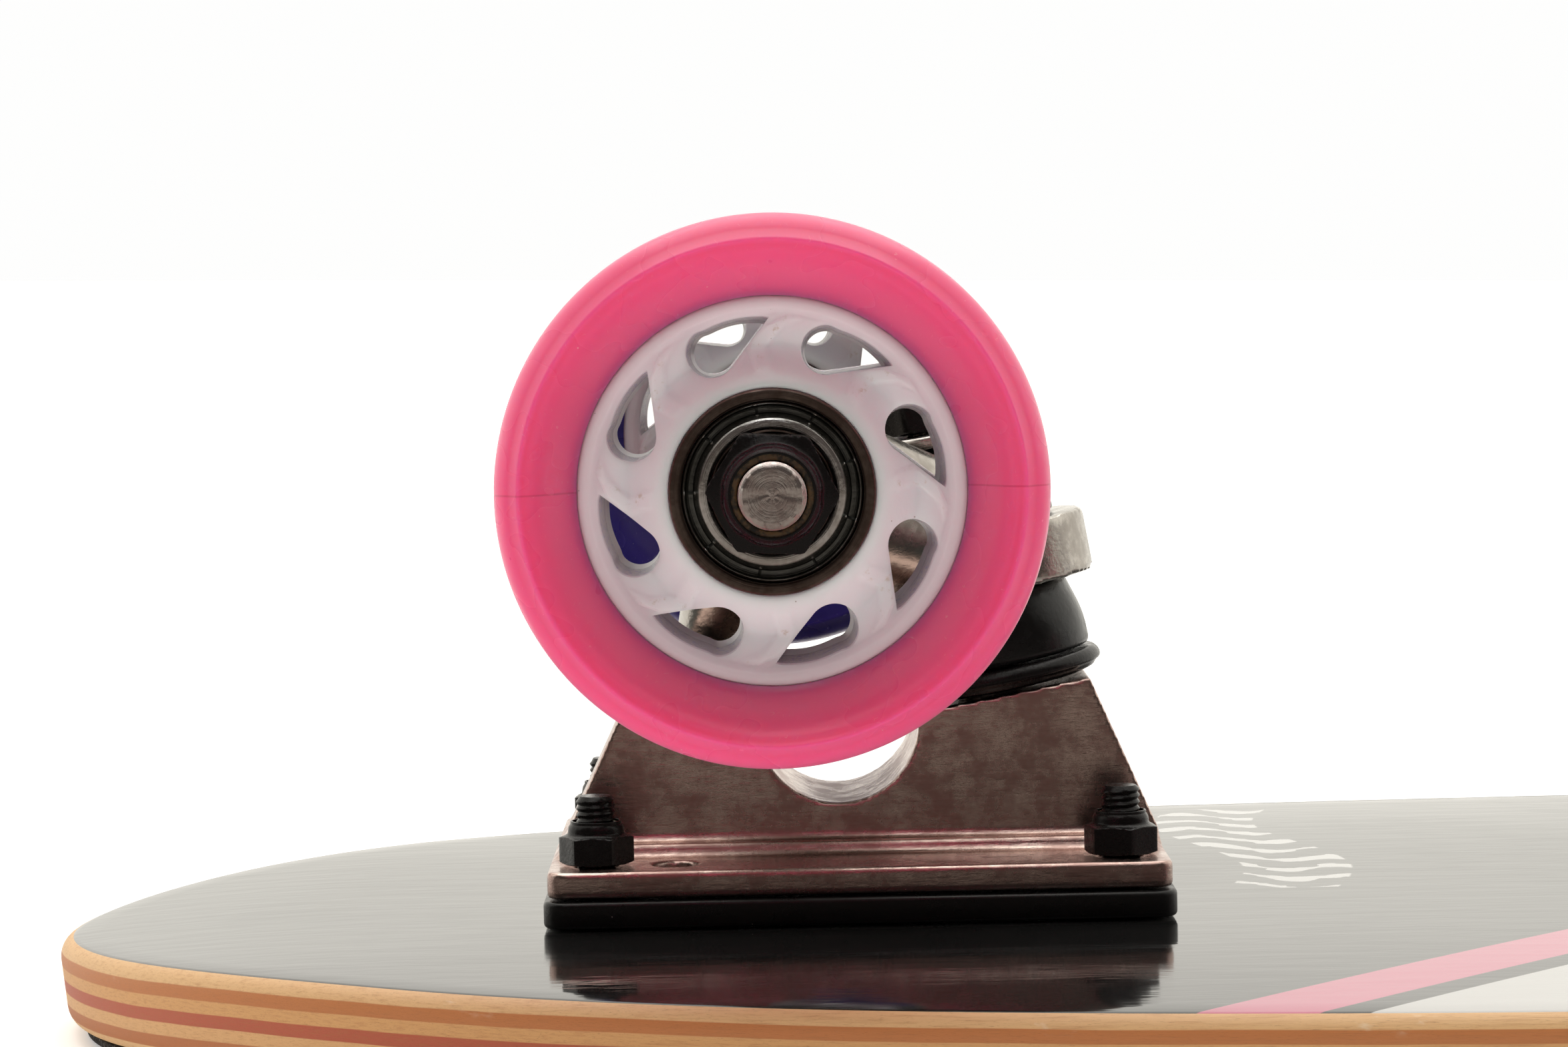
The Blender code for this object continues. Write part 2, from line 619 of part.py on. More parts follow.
def build_kingpin_stack(builder, truck_name, frame):
    """Bushings, washers and nut, which the kingpin passes through."""
    stations = kingpin_stations()
    bore = KINGPIN_RADIUS + GAP
    top = -stations["bottom_bushing"]
    bottom = top - BOTTOM_BUSHING_HEIGHT
    middle, waist = (top + bottom) / 2, BOTTOM_BUSHING_RADIUS - 0.0006
    outside = [(waist, top), (BOTTOM_BUSHING_RADIUS, middle), (waist, bottom)]
    bottom_bushing = [*outside, (bore, bottom), (bore, top)]
    foot = stations["top_bushing"]
    crown = foot + TOP_BUSHING_HEIGHT
    top_bushing = [(0.8 * TOP_BUSHING_RADIUS, crown), (TOP_BUSHING_RADIUS, foot), (bore, foot), (bore, crown)]
    cup_top = -stations["bottom_washer"]
    cup = washer_profile(
        cup_top - BOTTOM_WASHER_HEIGHT, cup_top, bore, BOTTOM_WASHER_RADIUS, 0.85 * BOTTOM_WASHER_RADIUS
    )
    lid_foot = stations["top_washer"]
    lid = washer_profile(lid_foot, lid_foot + TOP_WASHER_HEIGHT, bore, TOP_WASHER_RADIUS, TOP_WASHER_RADIUS)
    turned = {
        "bottom_bushing": (bottom_bushing, "black_rubber"),
        "bottom_washer": (cup, "black_steel"),
        "top_bushing": (top_bushing, "black_rubber"),
        "top_washer": (lid, "axle_steel"),
    }
    for part, (profile, finish) in turned.items():
        name = f"{truck_name}_{part}"
        add_screw(builder.piece(name, profile_mesh(name, profile, True), finish, frame), ROUND_STEPS)
    nut_name = f"{truck_name}_kingpin_nut"
    place = (0, 0, stations["nut"])
    hex_nut(builder, nut_name, KINGPIN_FLATS, KINGPIN_NUT_HEIGHT, bore, "black_steel", frame, place)


# ---------------------------------------------------------------- truck, the parts that lean


def build_hanger(builder, truck_name, truck, kingpin_frame, stem_frame, axle_frame):
    """One casting: tube along the axle, ring round the kingpin, gusset between them, stem to the pivot."""
    name = f"{truck_name}_hanger"
    half = HANGER_WIDTH / 2
    tube = [
        (0, half),
        (HANGER_END_RADIUS - HANGER_CHAMFER, half),
        (HANGER_END_RADIUS, half - HANGER_CHAMFER),
        (HANGER_MIDDLE_RADIUS, HANGER_SHOULDER),
        (HANGER_MIDDLE_RADIUS, -HANGER_SHOULDER),
        (HANGER_END_RADIUS, HANGER_CHAMFER - half),
        (HANGER_END_RADIUS - HANGER_CHAMFER, -half),
        (0, -half),
    ]
    mesh = profile_mesh(name, tube, closed=False)
    hanger = add_screw(builder.piece(name, mesh, "hanger_metal", axle_frame), ROUND_STEPS)

    lean, stem_x, stem_z = KINGPIN_LEAN, *stem_direction()
    kingpin_axis = Vector((-math.sin(lean), 0, math.cos(lean)))
    ring_centre, axle = Vector((RING_X, 0, RING_Z)), Vector((AXLE_X, 0, AXLE_Z))
    ring_half = RING_THICKNESS / 2
    gusset_half, gusset_radius = ring_half - 0.0004, RING_RADIUS - 0.001  # inside the ring on all sides
    gusset = [
        point
        for height in (-gusset_half, gusset_half)
        for point in circle_points(ring_centre + height * kingpin_axis, kingpin_axis, gusset_radius, 16)
    ]
    wing = tube_ends(axle, GUSSET_HALF_WIDTH, GUSSET_RADIUS)
    combine(hanger, builder.helper(f"{name}_gusset", hull_mesh(name, gusset + wing), truck), "UNION")

    pivot, stem_axis = Vector((PIVOT_X, 0, PIVOT_Z)), Vector((stem_x, 0, stem_z))
    neck_top = pivot + PIVOT_NECK_LENGTH * stem_axis
    stem = circle_points(neck_top, stem_axis, PIVOT_NECK_RADIUS + 0.0003, 10)
    shoulder = tube_ends(axle, SHOULDER_HALF_WIDTH, SHOULDER_RADIUS)
    combine(hanger, builder.helper(f"{name}_stem", hull_mesh(name, stem + shoulder), truck), "UNION")
    neck = cylinder_mesh(f"{name} neck", PIVOT_NECK_RADIUS, 0, PIVOT_NECK_LENGTH + 0.002)
    combine(hanger, builder.helper(f"{name}_neck", neck, stem_frame), "UNION")
    ball = bmesh.new()
    bmesh.ops.create_uvsphere(ball, u_segments=12, v_segments=8, radius=PIVOT_BALL_RADIUS)
    combine(hanger, builder.helper(f"{name}_ball", mesh_from(ball, "ball"), stem_frame), "UNION")

    stations = kingpin_stations()
    washer_sweep = (stations["top_washer"] + TOP_WASHER_HEIGHT) * math.tan(LEAN_LIMIT)
    above, below = TOP_WASHER_RADIUS + washer_sweep + GAP, RING_RADIUS + 0.0005
    cuts = {
        "upper_clearance": cylinder_mesh("upper", above, ring_half, 2 * stations["tip"], ROUND_STEPS),
        "lower_clearance": cylinder_mesh("lower", below, -stations["seat"] - 0.004, -ring_half, ROUND_STEPS),
    }
    for cut_name, cut in cuts.items():
        combine(hanger, builder.helper(f"{name}_{cut_name}", cut, kingpin_frame), "DIFFERENCE")
    ring = cylinder_mesh(f"{name} ring", RING_RADIUS, -ring_half, ring_half, ROUND_STEPS)
    combine(hanger, builder.helper(f"{name}_ring", ring, kingpin_frame), "UNION")
    bore = cylinder_mesh(f"{name} bore", RING_BORE, -2 * RING_THICKNESS, 2 * RING_THICKNESS, SMALL_STEPS)
    combine(hanger, builder.helper(f"{name}_ring_bore", bore, kingpin_frame), "DIFFERENCE")
    hole = cylinder_mesh(f"{name} axle hole", AXLE_RADIUS + GAP, -HANGER_WIDTH, HANGER_WIDTH, ROUND_STEPS)
    combine(hanger, builder.helper(f"{name}_axle_hole", hole, axle_frame), "DIFFERENCE")


def build_axle(builder, truck_name, frame):
    half = AXLE_LENGTH / 2
    profile = [
        (0, half),
        (AXLE_RADIUS - AXLE_CHAMFER, half),
        (AXLE_RADIUS, half - AXLE_CHAMFER),
        (AXLE_RADIUS, AXLE_CHAMFER - half),
        (AXLE_RADIUS - AXLE_CHAMFER, -half),
        (0, -half),
    ]
    name = f"{truck_name}_axle"
    add_screw(builder.piece(name, profile_mesh(name, profile, False), "axle_steel", frame), ROUND_STEPS)


# ---------------------------------------------------------------- wheel


def tyre_profile():
    """Section of the tyre: round shoulders, and side faces that dish in towards the core."""
    inner = CORE_RADIUS + GAP
    centre = WHEEL_RADIUS - TYRE_SHOULDER_RADIUS
    shoulder = [
        (centre + reach * math.cos(turn), TYRE_SHOULDER_HEIGHT + reach * math.sin(turn))
        for reach, turn in ((TYRE_SHOULDER_RADIUS, math.radians(50)), (TYRE_SHOULDER_RADIUS, 0))
    ]
    crest = [
        (TYRE_CREST_RADIUS - TYRE_CREST_WIDTH, TYRE_HALF_WIDTH - TYRE_CREST_DROP),
        (TYRE_CREST_RADIUS, TYRE_HALF_WIDTH - TYRE_CREST_EASE),
    ]
    upper = [(inner, CORE_LIP), *crest, *shoulder]
    return upper + [(radius, -height) for radius, height in reversed(upper)]


def core_profile():
    """Section of the core: boss with two bearing seats, thin web, rim."""
    seat = BEARING_OUTER + GAP
    face = BEARING_SPAN / 2
    stop = face - BEARING_WIDTH - GAP
    boss = seat + CORE_BOSS_WALL
    rim = CORE_RADIUS - CORE_RIM_WALL
    upper = [
        (CORE_STOP_RADIUS, stop),
        (seat, stop),
        (seat, face),
        (boss, face),
        (boss + 0.0006, CORE_WEB_HALF),
        (rim - 0.0003, CORE_WEB_HALF),
        (rim + 0.0008, CORE_LIP),
        (CORE_RADIUS, CORE_LIP),
    ]
    return upper + [(radius, -height) for radius, height in reversed(upper)]


def hole_outline():
    """A teardrop between the core's spokes: round end inboard, tip swept round towards the rim."""
    end = HOLE_END_DISTANCE * np.array((math.cos(HOLE_SWEEP), math.sin(HOLE_SWEEP)))
    turns = HOLE_SWEEP + np.radians(np.linspace(25, 245, 6))
    round_end = [tuple(end + HOLE_END_RADIUS * np.array((math.cos(t), math.sin(t)))) for t in turns]
    tip = (HOLE_TIP_DISTANCE, 0.0)
    outer_turn = 0.5 * HOLE_SWEEP
    outer = (HOLE_TIP_DISTANCE * math.cos(outer_turn) - 0.0001, HOLE_TIP_DISTANCE * math.sin(outer_turn))
    return [tip, outer, *round_end]


def build_wheel(builder, wheel_name, frame, tyre_finish):
    name = f"{wheel_name}_tyre"
    add_screw(builder.piece(name, profile_mesh(name, tyre_profile(), True), tyre_finish, frame), ROUND_STEPS)
    name = f"{wheel_name}_core"
    core_mesh = profile_mesh(name, core_profile(), closed=True)
    half_facet = math.pi / ROUND_STEPS  # keeps the holes' tips off the facets' edges
    core = builder.piece(name, core_mesh, "milky_core", frame, rotation=(0, 0, half_facet))
    add_screw(core, ROUND_STEPS)
    teardrop = prism_mesh(f"{name} hole", hole_outline(), 4 * CORE_WEB_HALF)
    teardrop.transform(Matrix.Rotation(-math.pi / 2, 4, "X"))
    for index in range(HOLE_COUNT):
        turn = (0, 0, index * 2 * math.pi / HOLE_COUNT)
        combine(core, builder.helper(f"{name}_hole_{index}", teardrop, frame, rotation=turn), "DIFFERENCE")
    for place, side in (("outer", 1), ("inner", -1)):
        far = BEARING_SPAN / 2
        near = far - BEARING_WIDTH
        bore, race = AXLE_RADIUS + RUNNING_CLEARANCE, 0.0005
        ring = [
            (BEARING_OUTER, far - race),
            (BEARING_OUTER, near),
            (bore, near),
            (bore, far),
            (BEARING_OUTER - race, far),
        ]
        name = f"{wheel_name}_{place}_bearing"
        mesh = profile_mesh(name, ring, closed=True)
        turned = (0, 0, 0) if side > 0 else (math.pi, 0, 0)
        add_screw(builder.piece(name, mesh, "bearing_steel", frame, rotation=turned), ROUND_STEPS)


# ---------------------------------------------------------------- assembly


def build_truck(builder, truck_name, truck, side_names):
    """A truck with its wheels. side_names are the board's sides at the truck's own -Y and +Y."""
    ring = (RING_X, 0, RING_Z)
    kingpin_frame = builder.empty(f"{truck_name}_kingpin_frame", truck, ring, (0, -KINGPIN_LEAN, 0))
    stem_x, stem_z = stem_direction()
    stem_turn = (0, math.atan2(stem_x, stem_z), 0)
    stem_frame = builder.empty(f"{truck_name}_pivot_frame", truck, (PIVOT_X, 0, PIVOT_Z), stem_turn)
    axle = (AXLE_X, 0, AXLE_Z)
    axle_frame = builder.empty(f"{truck_name}_axle_frame", truck, axle, (math.pi / 2, 0, 0))

    build_riser(builder, truck_name, truck)
    build_baseplate(builder, truck_name, truck, kingpin_frame, stem_frame)
    build_mounting_bolts(builder, truck_name, truck, side_names)
    build_pivot_cup(builder, truck_name, stem_frame)
    build_kingpin(builder, truck_name, kingpin_frame)
    build_kingpin_stack(builder, truck_name, kingpin_frame)
    build_hanger(builder, truck_name, truck, kingpin_frame, stem_frame, axle_frame)
    build_axle(builder, truck_name, axle_frame)

    for side, own_side in zip(side_names, (-1, 1)):
        outward = (-own_side * math.pi / 2, 0, 0)
        hub = (AXLE_X, own_side * WHEEL_CENTRE, AXLE_Z)
        wheel_name = f"{truck_name}_{side}"
        hub_frame = builder.empty(f"{wheel_name}_hub_frame", truck, hub, outward)
        build_wheel(builder, wheel_name, hub_frame, TYRE_FINISHES[side])
        nut_place = (0, 0, AXLE_NUT_START - WHEEL_CENTRE)
        bore = AXLE_RADIUS + GAP
        nut = f"{wheel_name}_axle_nut"
        hex_nut(builder, nut, AXLE_NUT_FLATS, AXLE_NUT_HEIGHT, bore, "black_steel", hub_frame, nut_place)


def set_down(board):
    """Moves the board so that its box stands on the floor with its middle over the origin."""
    bpy.context.view_layer.update()
    graph = bpy.context.evaluated_depsgraph_get()
    corners = []
    for name in ("deck", "grip_tape"):
        piece = bpy.data.objects[name].evaluated_get(graph)
        corners += [piece.matrix_world @ vert.co for vert in piece.data.vertices]
    spans = [(min(c[axis] for c in corners), max(c[axis] for c in corners)) for axis in range(3)]
    board.location = (-sum(spans[0]) / 2, 0, -spans[2][0])
    bpy.context.view_layer.update()


def main():
    clear_scene()
    builder = Builder()
    board = builder.empty("board_frame", rotation=(0, resting_lean(), 0))
    nose_x = NOSE_OVERHANG - DECK_LENGTH / 2
    trucks = {
        "nose": builder.empty("nose_truck_frame", board, (nose_x, 0, 0)),
        "tail": builder.empty("tail_truck_frame", board, (nose_x + TRUCK_SPACING, 0, 0), (0, 0, math.pi)),
    }
    build_deck(builder, board, trucks)
    build_truck(builder, "nose", trucks["nose"], ("right", "left"))
    build_truck(builder, "tail", trucks["tail"], ("left", "right"))
    set_down(board)


main()
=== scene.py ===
"""The looks of a cruiser skateboard that lies upside down on its nose and kicktail, wheels in the air.

Every piece is built in the frame of the part it belongs to (board, truck, kingpin, hub) and carried to
its place by that frame's matrix. Metres throughout. Each mesh keeps its own frame's coordinates in the
point attribute "own", which the finishes read, so a pattern stays with its piece when the piece moves.
"""

import json
import logging
import math
from dataclasses import dataclass, field
from enum import Enum
from typing import Callable, Iterable

import bmesh
import bpy
import numpy as np
from mathutils import Matrix, Vector


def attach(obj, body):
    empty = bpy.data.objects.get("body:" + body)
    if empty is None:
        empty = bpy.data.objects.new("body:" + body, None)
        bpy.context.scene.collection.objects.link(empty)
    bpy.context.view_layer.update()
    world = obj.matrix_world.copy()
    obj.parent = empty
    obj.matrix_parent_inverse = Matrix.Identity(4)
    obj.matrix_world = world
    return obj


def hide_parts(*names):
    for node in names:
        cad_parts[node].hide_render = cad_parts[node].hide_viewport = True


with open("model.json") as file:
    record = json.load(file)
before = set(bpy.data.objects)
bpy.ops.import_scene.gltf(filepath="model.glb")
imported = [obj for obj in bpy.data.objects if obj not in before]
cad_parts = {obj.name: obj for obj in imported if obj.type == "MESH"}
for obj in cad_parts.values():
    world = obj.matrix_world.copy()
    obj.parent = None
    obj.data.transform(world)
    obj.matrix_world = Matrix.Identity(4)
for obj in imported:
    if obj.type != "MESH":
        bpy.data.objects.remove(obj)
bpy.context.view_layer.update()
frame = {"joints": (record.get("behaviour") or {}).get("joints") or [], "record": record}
LOG = logging.getLogger("skateboard")
Array = np.ndarray
Colour = tuple[float, float, float]
MM = 0.001
MERGE = 2e-6  # metres: points closer than this are one point


class End(Enum):
    """The two ends of the board, each with its truck."""

    NOSE = "nose"
    TAIL = "tail"


class Side(Enum):
    """The rider's sides of the board, facing the nose with the board the right way up."""

    RIGHT = "right"
    LEFT = "left"


def srgb(red: float, green: float, blue: float) -> Colour:
    """Linear colour of a display colour given from 0 to 255."""
    shares = (channel / 255 for channel in (red, green, blue))
    return tuple(c / 12.92 if c <= 0.04045 else ((c + 0.055) / 1.055) ** 2.4 for c in shares)


def smooth(share: Array) -> Array:
    """The step 3t^2 - 2t^3, held at 0 and 1 outside."""
    held = np.clip(share, 0, 1)
    return held * held * (3 - 2 * held)


# ---------------------------------------------------------------- surfaces


@dataclass
class Shell:
    """One closed surface: its points, and its faces as rows of four corners."""

    points: Array
    faces: Array

    def outward(self) -> "Shell":
        """The same surface with its faces turned outwards, by the sign of the volume they enclose."""
        a, b, c, d = (self.points[self.faces[:, k]] for k in range(4))
        volume = np.einsum("ij,ij->", a, np.cross(b, c)) + np.einsum("ij,ij->", a, np.cross(c, d))
        return self if volume > 0 else Shell(self.points, self.faces[:, ::-1])

    def moved(self, matrix: Matrix) -> "Shell":
        """The same surface carried by a matrix."""
        table = np.array(matrix)
        return Shell(self.points @ table[:3, :3].T + table[:3, 3], self.faces)


def grid_shell(points: Array, wrap_rows: bool, wrap_columns: bool) -> Shell:
    """Faces over a grid of points.

    Args:
        points: Shape (rows, columns, 3).
        wrap_rows: Whether the last row joins the first.
        wrap_columns: Whether the last column joins the first.

    Returns:
        The surface, one face to each cell of the grid.
    """
    rows, columns = points.shape[:2]
    index = np.arange(rows * columns).reshape(rows, columns)
    if wrap_rows:
        index = np.vstack([index, index[:1]])
    if wrap_columns:
        index = np.hstack([index, index[:, :1]])
    corners = (index[:-1, :-1], index[1:, :-1], index[1:, 1:], index[:-1, 1:])
    faces = np.stack([corner.ravel() for corner in corners], axis=1)
    return Shell(points.reshape(-1, 3), faces)


def join(shells: Iterable[Shell]) -> Shell:
    """Several surfaces as one list of points and faces."""
    shells = list(shells)
    starts = np.cumsum([0] + [len(shell.points) for shell in shells[:-1]])
    faces = [shell.faces + start for shell, start in zip(shells, starts)]
    return Shell(np.vstack([shell.points for shell in shells]), np.vstack(faces))


def revolve(
    profile: Array,
    steps: int = 96,
    closed: bool = False,
    shape: Callable[[Array, Array, Array], tuple[Array, Array]] | None = None,
    start: float = 0.0,
) -> Shell:
    """A profile turned about Z: (r cos t, r sin t, h).

    Args:
        profile: Rows of (radius, height).
        steps: How many columns go round.
        closed: Whether the profile is a loop. An open one ends on the axis.
        shape: Changes radius and height as functions of (radius, turn, height).
        start: Turn of the first column.

    Returns:
        The turned surface, facing outwards.
    """
    turns = start + np.linspace(0, 2 * math.pi, steps, endpoint=False)[None, :]
    radius, height = profile[:, :1] + 0 * turns, profile[:, 1:2] + 0 * turns
    if shape is not None:
        radius, height = shape(radius, turns, height)
    points = np.stack([radius * np.cos(turns), radius * np.sin(turns), height], axis=2)
    return grid_shell(points, wrap_rows=closed, wrap_columns=True).outward()


def rounded(corners: Array, radius: float | Iterable[float], steps: int = 4, loop: bool = False) -> Array:
    """A polyline with each corner replaced by an arc-like curve, a quadratic between its two cut points.

    Args:
        corners: Rows of (x, y).
        radius: How far the rounding reaches along each side, one value or one a corner.
        steps: Points on each rounding.
        loop: Whether the last corner joins the first.

    Returns:
        Rows of (x, y).
    """
    corners = np.asarray(corners, float)
    reach = np.broadcast_to(np.asarray(radius, float), (len(corners),))
    out: list[Array] = []
    share = np.linspace(0, 1, steps)[:, None]
    for index, corner in enumerate(corners):
        if not loop and index in (0, len(corners) - 1) or reach[index] == 0:
            out.append(corner[None, :])
            continue
        before, after = corners[index - 1] - corner, corners[(index + 1) % len(corners)] - corner
        lengths = np.linalg.norm(before), np.linalg.norm(after)
        cut = min(reach[index], 0.48 * lengths[0], 0.48 * lengths[1])
        first, last = corner + cut * before / lengths[0], corner + cut * after / lengths[1]
        out.append((1 - share) ** 2 * first + 2 * share * (1 - share) * corner + share**2 * last)
    return np.vstack(out)


def swept_plate(outline: Array, normals: Array, section: Array, middles: Array, ends: int) -> Shell:
    """A flat plate: an edge section carried round an outline, with both faces closed by shrinking rings.

    Args:
        outline: Rows of (x, y), a loop.
        normals: Outward unit normals of the outline.
        section: Rows of (inset, height) from the top face round the edge to the bottom face.
        middles: Rows of (x, y), where each outline point's ring ends.
        ends: Rings on each face.

    Returns:
        The plate's surface.
    """
    edge = outline[None] - section[:, 0][:, None, None] * normals[None]
    shares = np.linspace(0, 1, ends)[:-1][:, None, None]
    top = middles + shares * (edge[:1] - middles)
    bottom = middles + shares[::-1] * (edge[-1:] - middles)
    flat = np.vstack([top, edge, bottom])
    heights = np.concatenate([np.full(ends - 1, section[0, 1]), section[:, 1], np.full(ends - 1, section[-1, 1])])
    points = np.dstack([flat, np.broadcast_to(heights[:, None], flat.shape[:2])])
    return grid_shell(points, wrap_rows=False, wrap_columns=True).outward()


def rounded_rectangle(length: float, width: float, radius: float, steps: int = 8) -> tuple[Array, Array]:
    """A rectangle with quarter-circle corners, and its outward normals."""
    turns = np.concatenate([np.linspace(q, q + 1, steps) for q in range(4)]) * math.pi / 2
    normals = np.stack([np.cos(turns), np.sin(turns)], axis=1)
    quarter = np.repeat(np.arange(4), steps)
    signs = np.array([(1, 1), (-1, 1), (-1, -1), (1, -1)])[quarter]
    centres = signs * np.array([length / 2 - radius, width / 2 - radius])
    return centres + radius * normals, normals


def mesh_of(shells: Shell | Iterable[Shell], name: str) -> bpy.types.Mesh:
    """A Blender mesh of the surfaces, with points that lie on each other merged."""
    shell = shells if isinstance(shells, Shell) else join(shells)
    mesh = bpy.data.meshes.new(name)
    mesh.from_pydata(shell.points.tolist(), [], shell.faces.tolist())
    work = bmesh.new()
    work.from_mesh(mesh)
    bmesh.ops.remove_doubles(work, verts=work.verts, dist=MERGE)
    bmesh.ops.dissolve_degenerate(work, edges=work.edges, dist=MERGE / 4)
    work.to_mesh(mesh)
    work.free()
    return mesh


def hull_mesh(name: str, points: Array) -> bpy.types.Mesh:
    """The smallest convex solid around the points."""
    work = bmesh.new()
    for point in points.tolist():
        work.verts.new(point)
    made = bmesh.ops.convex_hull(work, input=work.verts)
    unused = {item for key in ("geom_interior", "geom_unused") for item in made[key]}
    bmesh.ops.delete(work, geom=[i for i in unused if isinstance(i, bmesh.types.BMVert)], context="VERTS")
    bmesh.ops.recalc_face_normals(work, faces=work.faces)
    mesh = bpy.data.meshes.new(name)
    work.to_mesh(mesh)
    work.free()
    return mesh


class Workshop:
    """A temporary object on which modifiers are run one by one, each applied to the mesh at once."""

    def __init__(self, mesh: bpy.types.Mesh) -> None:
        """Puts the mesh on the bench."""
        self.bench = bpy.data.objects.new("bench", mesh)
        bpy.context.scene.collection.objects.link(self.bench)

    def run(self, kind: str, **settings: object) -> "Workshop":
        """Applies one modifier with its settings."""
        modifier = self.bench.modifiers.new(kind, kind)
        for key, value in settings.items():
            setattr(modifier, key, value)
        graph = bpy.context.evaluated_depsgraph_get()
        mesh = bpy.data.meshes.new_from_object(self.bench.evaluated_get(graph))
        self.bench.modifiers.clear()
        self.bench.data = mesh
        return self

    def combine(self, operation: str, *tools: bpy.types.Mesh) -> "Workshop":
        """Joins or cuts with each tool in turn."""
        for tool in tools:
            other = bpy.data.objects.new("tool", tool)
            bpy.context.scene.collection.objects.link(other)
            self.run("BOOLEAN", operation=operation, solver="EXACT", object=other)
            bpy.data.objects.remove(other, do_unlink=True)
        return self

    def taken(self) -> bpy.types.Mesh:
        """The finished mesh, off the bench."""
        mesh = self.bench.data
        bpy.data.objects.remove(self.bench, do_unlink=True)
        return mesh


def cast(mesh: bpy.types.Mesh, voxel: float, rounds: int) -> bpy.types.Mesh:
    """The solid as a casting has it, every edge and inner corner rounded.

    Args:
        mesh: A closed solid.
        voxel: Size of the even faces that the surface is laid out in.
        rounds: How often the surface is smoothed.

    Returns:
        The rounded mesh.
    """
    bench = Workshop(mesh).run("REMESH", mode="VOXEL", voxel_size=voxel, adaptivity=0.0)
    return bench.run("SMOOTH", factor=0.5, iterations=rounds).taken()


@dataclass
class Assembly:
    """What every group of pieces shares: the body it rides on and the matrix of its own frame."""

    body: str
    place: Matrix

    def piece(
        self,
        name: str,
        mesh: bpy.types.Mesh,
        finish: "Finish",
        replaces: Iterable[str] = (),
        place: Matrix | None = None,
        sharp_degrees: float = 38.0,
        own: Array | None = None,
        masks: dict[str, Array] | None = None,
    ) -> bpy.types.Object:
        """Dresses a mesh and puts it in its place in the row frame.

        Args:
            name: Name of the piece.
            mesh: Its mesh, in its own frame.
            finish: The finish it gets.
            replaces: CAD nodes that it stands for.
            place: Its frame, when that isn't the assembly's.
            sharp_degrees: Edges sharper than this aren't shaded smooth.
            own: Coordinates for the finish, when they aren't the mesh's own.
            masks: Further point attributes for the finish.

        Returns:
            The object, riding on the assembly's body.
        """
        count = len(mesh.vertices)
        points = np.empty(count * 3, np.float32)
        mesh.vertices.foreach_get("co", points)
        values = points if own is None else own.astype(np.float32).ravel()
        mesh.attributes.new("own", "FLOAT_VECTOR", "POINT").data.foreach_set("vector", values)
        for key, mask in (masks or {}).items():
            mesh.attributes.new(key, "FLOAT", "POINT").data.foreach_set("value", mask.astype(np.float32))
        mesh.transform(self.place if place is None else place)
        mesh.shade_smooth()
        mesh.set_sharp_from_angle(angle=math.radians(sharp_degrees))
        mesh.materials.clear()
        mesh.materials.append(finish.material())
        made = bpy.data.objects.new(name, mesh)
        bpy.context.scene.collection.objects.link(made)
        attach(made, self.body)
        if replaces:
            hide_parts(*replaces)
        LOG.info("%s: %d faces on %s", name, len(mesh.polygons), self.body)
        return made


def coordinates(mesh: bpy.types.Mesh) -> Array:
    """The mesh's points as rows of (x, y, z)."""
    points = np.empty(len(mesh.vertices) * 3, np.float32)
    mesh.vertices.foreach_get("co", points)
    return points.reshape(-1, 3).astype(float)


# ---------------------------------------------------------------- finishes


